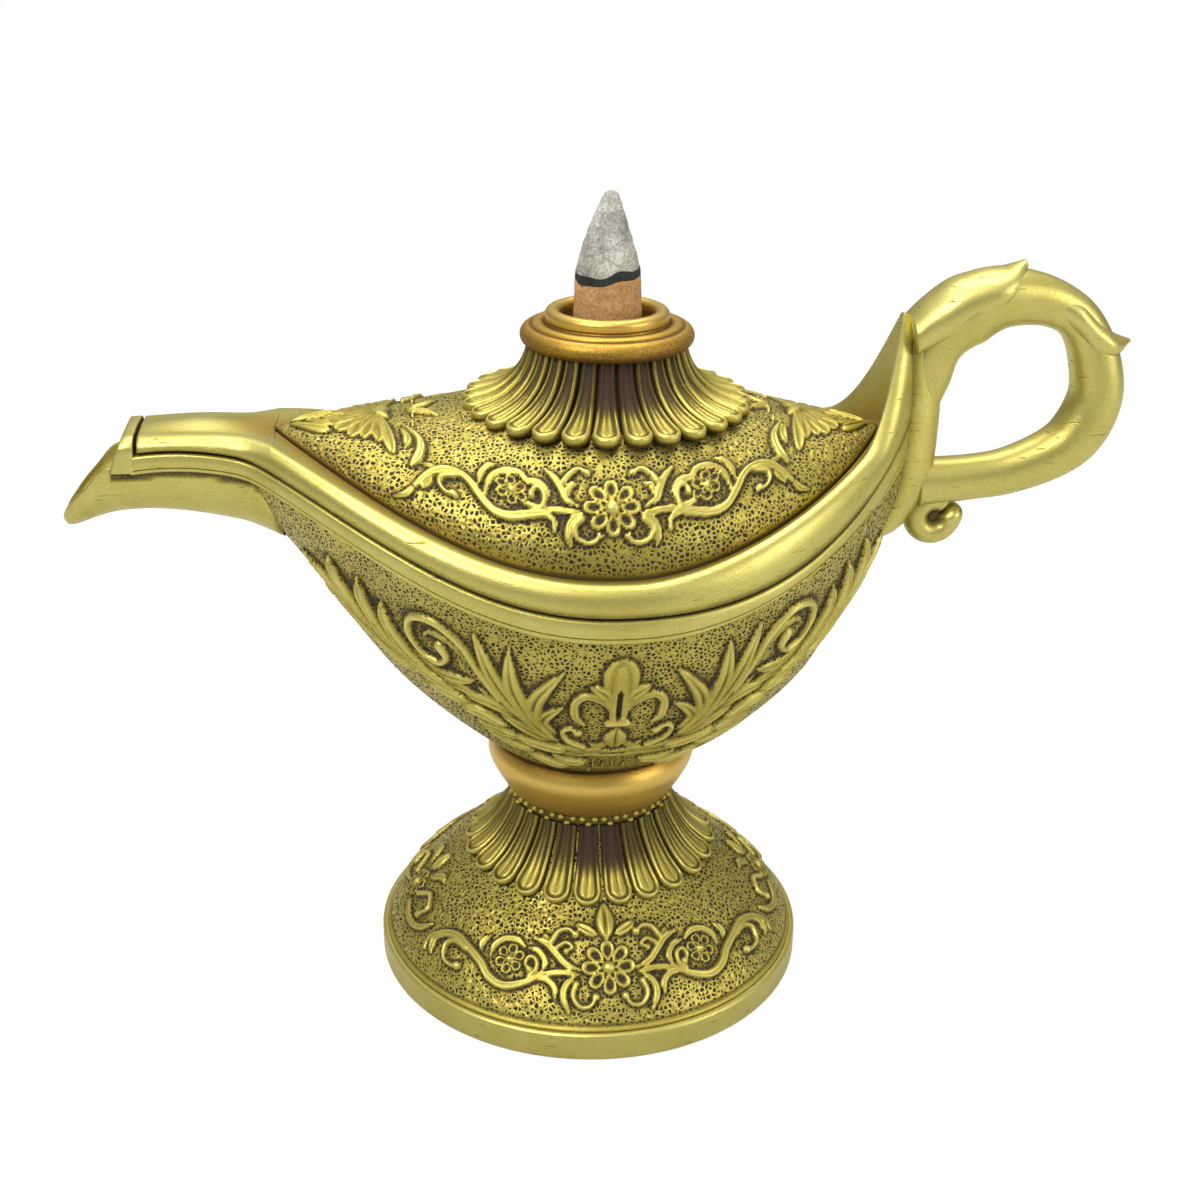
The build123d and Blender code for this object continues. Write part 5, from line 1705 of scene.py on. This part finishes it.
@dataclass
class Handle:
    """Looped handle with two turned-up leaves, its root plate and its scroll."""

    root_x: float = 60.0
    low_z: float = 94.9
    span_x: float = 32.8
    span_z: float = 34.0
    radius: float = 4.6
    path: tuple = ((-.03, .37, .52), (0, .56, .83), (.04, .74, .96), (.15, .9, 1.34), (.34, .99, 1.22),
                   (.56, .985, 1.02), (.735, .925, .88), (.845, .83, .87), (.93, .66, .98), (.965, .46, 1.05),
                   (.9, .27, 1.08), (.77, .145, 1.02), (.52, .045, .93), (.29, .01, .9), (-.02, -.01, .96))
    top_upper: tuple = ((-.14, .905), (-.06, .985), (.07, 1.082), (.186, 1.123), (.363, 1.152), (.476, 1.191))
    top_lower: tuple = ((-.1, .7), (.15, .81), (.33, .91), (.425, 1.0), (.475, 1.08), (.49, 1.16))
    side_upper: tuple = ((.62, 1.05), (.7, 1.03), (.8, .985), (.91, .885), (1.02, .8), (1.118, .763))
    side_lower: tuple = ((.66, .88), (.77, .80), (.88, .69), (.985, .66), (1.06, .7), (1.116, .745))
    scroll_x: float = 63.2
    scroll_z: float = 88.0
    curl: float = 3.3
    top_half_width: float = 6.0
    side_half_width: float = 4.7
    scroll_thickness: float = 2.4
    # Plate: height, how far out it stands, how far in it starts, and its half width.
    plate: tuple = ((83.6, 51.5, 49.0, 1.2), (85.4, 55.2, 49.8, 4.2), (89.8, 59.2, 51.0, 5.5),
                    (94.9, 61.6, 52.4, 5.8), (99.7, 62.4, 53.4, 5.4), (104.8, 62.6, 54.2, 4.8),
                    (109.9, 62.6, 54.8, 4.2), (117.3, 61.8, 55.6, 3.4), (122.8, 60.2, 56.2, 2.4),
                    (126.6, 57.4, 56.8, 0.6))

    def at(self, shares: tuple) -> np.ndarray:
        """Rows of (x, z) for rows of shares of the handle's spans."""
        rows = np.array(shares)[:, :2]
        return np.array((self.root_x, self.low_z)) + rows * (self.span_x, self.span_z)

    def build(self, finishes: Finishes) -> None:
        """Casts the handle's pieces."""
        self.build_loop(finishes)
        for node, upper, lower, half_width in (
                ("handle_top_leaf", self.top_upper, self.top_lower, self.top_half_width),
                ("handle_side_leaf", self.side_upper, self.side_lower, self.side_half_width)):
            self.build_leaf(node, upper, lower, half_width, finishes)
        self.build_plate(finishes)
        self.build_scroll(finishes)

    def build_loop(self, finishes: Finishes) -> None:
        """Rounded loop from the stern's tip round to its foot."""
        rows = np.column_stack([self.at(self.path), np.array(self.path)[:, 2] * self.radius])
        line = smooth_line(rows, 22)
        run = np.gradient(line[:, :2], axis=0)
        run /= np.linalg.norm(run, axis=1, keepdims=True)
        across = np.stack([-run[:, 1], run[:, 0]], 1)
        loop = Casting("handle_loop_cast")
        loop.skin(swept(line[:, :2], across, line[:, 2], line[:, 2] * 0.97, 56, 0.88), SMOOTH, ring=True)
        loop.cast("burner", ("handle_loop",), finishes.bright)

    def build_leaf(self, node: str, upper: tuple, lower: tuple, half_wide: float, finishes: Finishes) -> None:
        """Leaf that lies on the loop and turns up at its tip.

        Args:
            node: the CAD node that it stands for.
            upper: points of its upper edge, as shares of the handle's spans.
            lower: points of its lower edge.
            half_wide: half width of its root.
            finishes: the lamp's finishes.
        """
        share = np.linspace(0, 1, 80)
        edges = []
        for side in (upper, lower):
            line = smooth_line(self.at(side), 20)
            run = run_along(line)
            edges.append(np.stack([np.interp(share * run[-1], run, line[:, k]) for k in (0, 1)], 1))
        high, low = edges
        centre, across = (high + low) / 2, high - low
        tall = np.maximum(np.linalg.norm(across, axis=1), 1e-6)
        wide = half_wide * np.sqrt(1 - 0.97 * eased((share - 0.55) / 0.45) ** 2)
        wide *= 0.85 + 0.15 * eased(share * 3)
        leaf = Casting(node + "_cast")
        columns = 44
        places = swept(centre, across / tall[:, None], tall / 2, wide, columns, 0.9)
        # Painted shade: the underside darkens towards the turned-up tip.
        near_tip = eased((np.linspace(0, 1, len(places)) - 0.6) / 0.15)[:, None]
        wear_and_shade = 0.66 - 0.5 * eased((-0.25 - np.sin(around(columns))) / 0.3) * near_tip
        leaf.skin(places, wear_and_shade, ring=True)
        leaf.cast("burner", (node,), finishes.bright)

    def build_plate(self, finishes: Finishes) -> None:
        """Smooth plate that flows from the stern into the handle's roots."""
        stations, outer, inner, wide = np.array(self.plate).T
        z = np.linspace(stations[0], stations[-1], 90)[:, None]
        far, near, half = (between(z, stations, value) for value in (outer, inner, wide))
        columns = np.arange(41)
        turn = columns * math.pi / columns[-1]
        places = places_of(near + (far - near) * np.sin(turn) ** 0.75, -half * np.cos(turn), z)
        edge = np.minimum(columns, columns[::-1])
        plate = Casting("handle_plate_cast")
        # Painted shade along both edges, where the plate meets the rim.
        plate.skin(capped(places), SMOOTH - 0.5 * np.exp(-(edge / 2.2) ** 2), ring=True)
        plate.cast("burner", ("handle_plate",), finishes.bright, 65)

    def build_scroll(self, finishes: Finishes) -> None:
        """Curl under the handle's root that ends in a knob."""
        turn = np.radians(np.linspace(58, 398, 90))
        share = np.linspace(0, 1, 90)
        across = np.stack([np.cos(turn), np.sin(turn)], 1)
        line = (self.scroll_x, self.scroll_z) + (self.curl - 0.15 * share)[:, None] * across
        thick = self.scroll_thickness - 0.2 * share + 0.4 * np.exp(-((0.92 - share) / 0.08) ** 2)
        thick *= np.sqrt(np.clip(1 - ((share - 0.88) / 0.12).clip(0, 1) ** 2, 0.001, 1))
        scroll = Casting("handle_scroll_cast")
        columns = 32
        # Painted shade on the inner face of the curl; the web in its middle is a dark painted shade.
        scroll.skin(swept(line, across, thick, thick * 1.15, columns),
                    SMOOTH - 0.5 * eased(-np.sin(around(columns)) * 2 - 0.9), ring=True)
        web = sphere_grid(1.0, 24, 12) * (1.6, 1.1, 1.6) + (self.scroll_x, 0, self.scroll_z)
        scroll.skin(web, 0.08, ring=True)
        scroll.cast("burner", ("handle_scroll",), finishes.bright)


@dataclass
class Cone:
    """Incense cone with its wavy char line and ash tip."""

    axis_x: float = 2.0
    low: float = 121.7
    line: float = 133.4
    char: float = 1.5
    top: float = 147.85
    columns: int = 220
    lump: float = 1.3
    lean: float = 0.35
    stations: tuple = (121.7, 130.0, 134.8, 138.5, 142.5, 145.5, 147.0, 147.6, 147.86)
    radii: tuple = (5.9, 5.8, 5.45, 4.45, 3.1, 2.0, 1.35, 0.85, 0.02)

    def build(self, finishes: Finishes) -> None:
        """Makes the three layers of the cone between wavy heights."""
        angle = around(self.columns)
        wave = 0.75 * np.sin(angle - 0.55) + 0.25 * np.sin(3 * angle + 0.6) + 0.12 * np.sin(7 * angle)
        body_top = self.line + wave
        char_top = body_top + self.char * (1 + 0.12 * np.sin(5 * angle))
        for name, node, slot, finish, low, high, rows, rough in (
                ("incense_body", "cone_body", "incense", finishes.incense, self.low, body_top, 60, 0.10),
                ("incense_char_ring", "cone_char", "char", finishes.char, body_top, char_top, 8, 0.10),
                ("incense_ash_tip", "cone_ash", "ash", finishes.ash, char_top, self.top, 80, 0.16)):
            solid = Casting(name)
            solid.skin(self.layer(low, high, rows, rough), ring=True)
            solid.cast("cone", (node,), finish, 70)

    def layer(self, low: np.ndarray | float, high: np.ndarray | float, rows: int, rough: float) -> np.ndarray:
        """Closed lumpy surface of one layer.

        Args:
            low: heights of its underside round the cone.
            high: heights of its top.
            rows: rows of places between them.
            rough: height of its lumps.

        Returns:
            Places, rows by columns by 3.
        """
        angle = around(self.columns) - math.pi / 2
        z = low + np.broadcast_to(high - low, self.columns) * np.linspace(0, 1, rows)[:, None]
        radius = between(z, np.array(self.stations), np.array(self.radii))
        bare = places_of(radius * np.cos(angle), radius * np.sin(angle), z)
        lumps = rough * (casting_pits(bare, self.lump, 1.0) - 0.5) * np.minimum(radius, 1.5) / 1.5
        lean = self.lean * eased((z - 140) / 8)
        return capped(places_of(self.axis_x + lean + (radius - lumps) * np.cos(angle),
                                (radius - lumps) * np.sin(angle), z))


@dataclass
class Studio:
    """Pale floor, soft light and the camera at the photograph's place."""

    floor_half: float = 4000.0
    floor_drop: float = 0.2
    camera_place: tuple = (-32.613, -286.238, 198.18)
    camera_aim: tuple = (0.10822, 0.91073, -0.39857)
    camera_roll: float = 0.014
    focal_pixels: float = 1697.0
    frame_pixels: float = 1200.0
    # Name, place and size in metres, and power in watts of each soft box.
    lamps: tuple = (("key", (-0.45, -0.55, 0.85), 0.6, 8.5), ("fill", (0.75, -0.5, 0.35), 0.5, 3.0),
                    ("top", (0.05, 0.25, 1.0), 0.7, 7.0))
    lamp_aim: tuple = (0, 0, 0.08)

    def build(self) -> None:
        """Sets up the stage."""
        self.build_camera()
        self.build_floor()
        self.build_world()
        self.build_lamps()
        view = bpy.context.scene.view_settings
        view.view_transform = "Standard"

    def build_camera(self) -> None:
        """Camera with the photograph's framing."""
        data = bpy.data.cameras.new("camera")
        data.sensor_width = 36.0
        data.lens = self.focal_pixels / self.frame_pixels * data.sensor_width
        data.clip_start = 0.01
        aim = Vector(self.camera_aim).normalized()
        level = aim.cross(Vector((0, 0, 1))).normalized()
        upright = level.cross(aim)
        roll = self.camera_roll
        right = math.cos(roll) * level + math.sin(roll) * upright
        up = math.cos(roll) * upright - math.sin(roll) * level
        turn = Matrix((right, up, -aim)).transposed().to_4x4()
        camera = bpy.data.objects.new("camera", data)
        camera.matrix_world = Matrix.Translation(Vector(self.camera_place) * MM) @ turn
        bpy.context.scene.collection.objects.link(camera)
        bpy.context.scene.camera = camera

    def build_floor(self) -> None:
        """White floor that keeps the lamp's shadow."""
        work = bmesh.new()
        bmesh.ops.create_grid(work, x_segments=8, y_segments=8, size=self.floor_half * MM)
        mesh = bpy.data.meshes.new("floor")
        work.to_mesh(mesh)
        work.free()
        floor = bpy.data.objects.new("floor", mesh)
        floor.location.z = -self.floor_drop * MM
        bpy.context.scene.collection.objects.link(floor)
        material = bpy.data.materials.new("white_table")
        tree = new_tree(material)
        paint = add(tree, "BsdfDiffuse", {"Color": linear("#c4c4c2")})
        glow = add(tree, "Emission", {"Color": (1, 1, 1, 1), "Strength": 1.15})
        seen = add(tree, "LightPath").outputs["Is Camera Ray"]
        some = add(tree, "Math", {0: seen, 1: 0.8}, operation="MULTIPLY")
        mixed = add(tree, "MixShader", {0: some, 1: paint, 2: glow})
        add(tree, "OutputMaterial", {"Surface": mixed})
        mesh.materials.append(material)

    def build_world(self) -> None:
        """Soft room: bright above, dim at eye level, white behind the lamp."""
        world = bpy.data.worlds.new("studio")
        bpy.context.scene.world = world
        tree = new_tree(world)
        height = add(tree, "SeparateXYZ", {0: add(tree, "TexCoord").outputs["Generated"]}).outputs["Z"]
        room = add(tree, "ValToRGB", {"Fac": height}, (
            (0.0, "#6f6f70"), (0.25, "#8b8b8b"), (0.6, "#d8d8d6"), (1.0, "#ffffff")))
        seen = add(tree, "LightPath").outputs["Is Camera Ray"]
        mixed = add(tree, "Mix", {0: seen, 6: room, 7: (1, 1, 1, 1)}, data_type="RGBA").outputs[2]
        add(tree, "OutputWorld", {"Surface": add(tree, "Background", {"Color": mixed, "Strength": 1.0})})

    def build_lamps(self) -> None:
        """Large soft boxes: one high at the left, one at the right and one over the top."""
        for name, place, size, power in self.lamps:
            data = bpy.data.lights.new(name, "AREA")
            data.size = size
            data.energy = power
            lamp = bpy.data.objects.new(name, data)
            lamp.location = place
            aim = Vector(self.lamp_aim) - Vector(place)
            lamp.rotation_euler = aim.to_track_quat("-Z", "Y").to_euler()
            bpy.context.scene.collection.objects.link(lamp)


def main() -> None:
    """Builds the lamp's looks and the studio."""
    logging.basicConfig(level=logging.INFO, format="%(name)s: %(message)s")
    finishes = Finishes()
    finishes.dress_frame()
    Foot().build(finishes)
    Neck().build(finishes)
    Bowl().build(finishes)
    Rim().build(finishes)
    Handle().build(finishes)
    Lid().build(finishes)
    Cone().build(finishes)
    Studio().build()


if __name__ == "__main__":
    main()
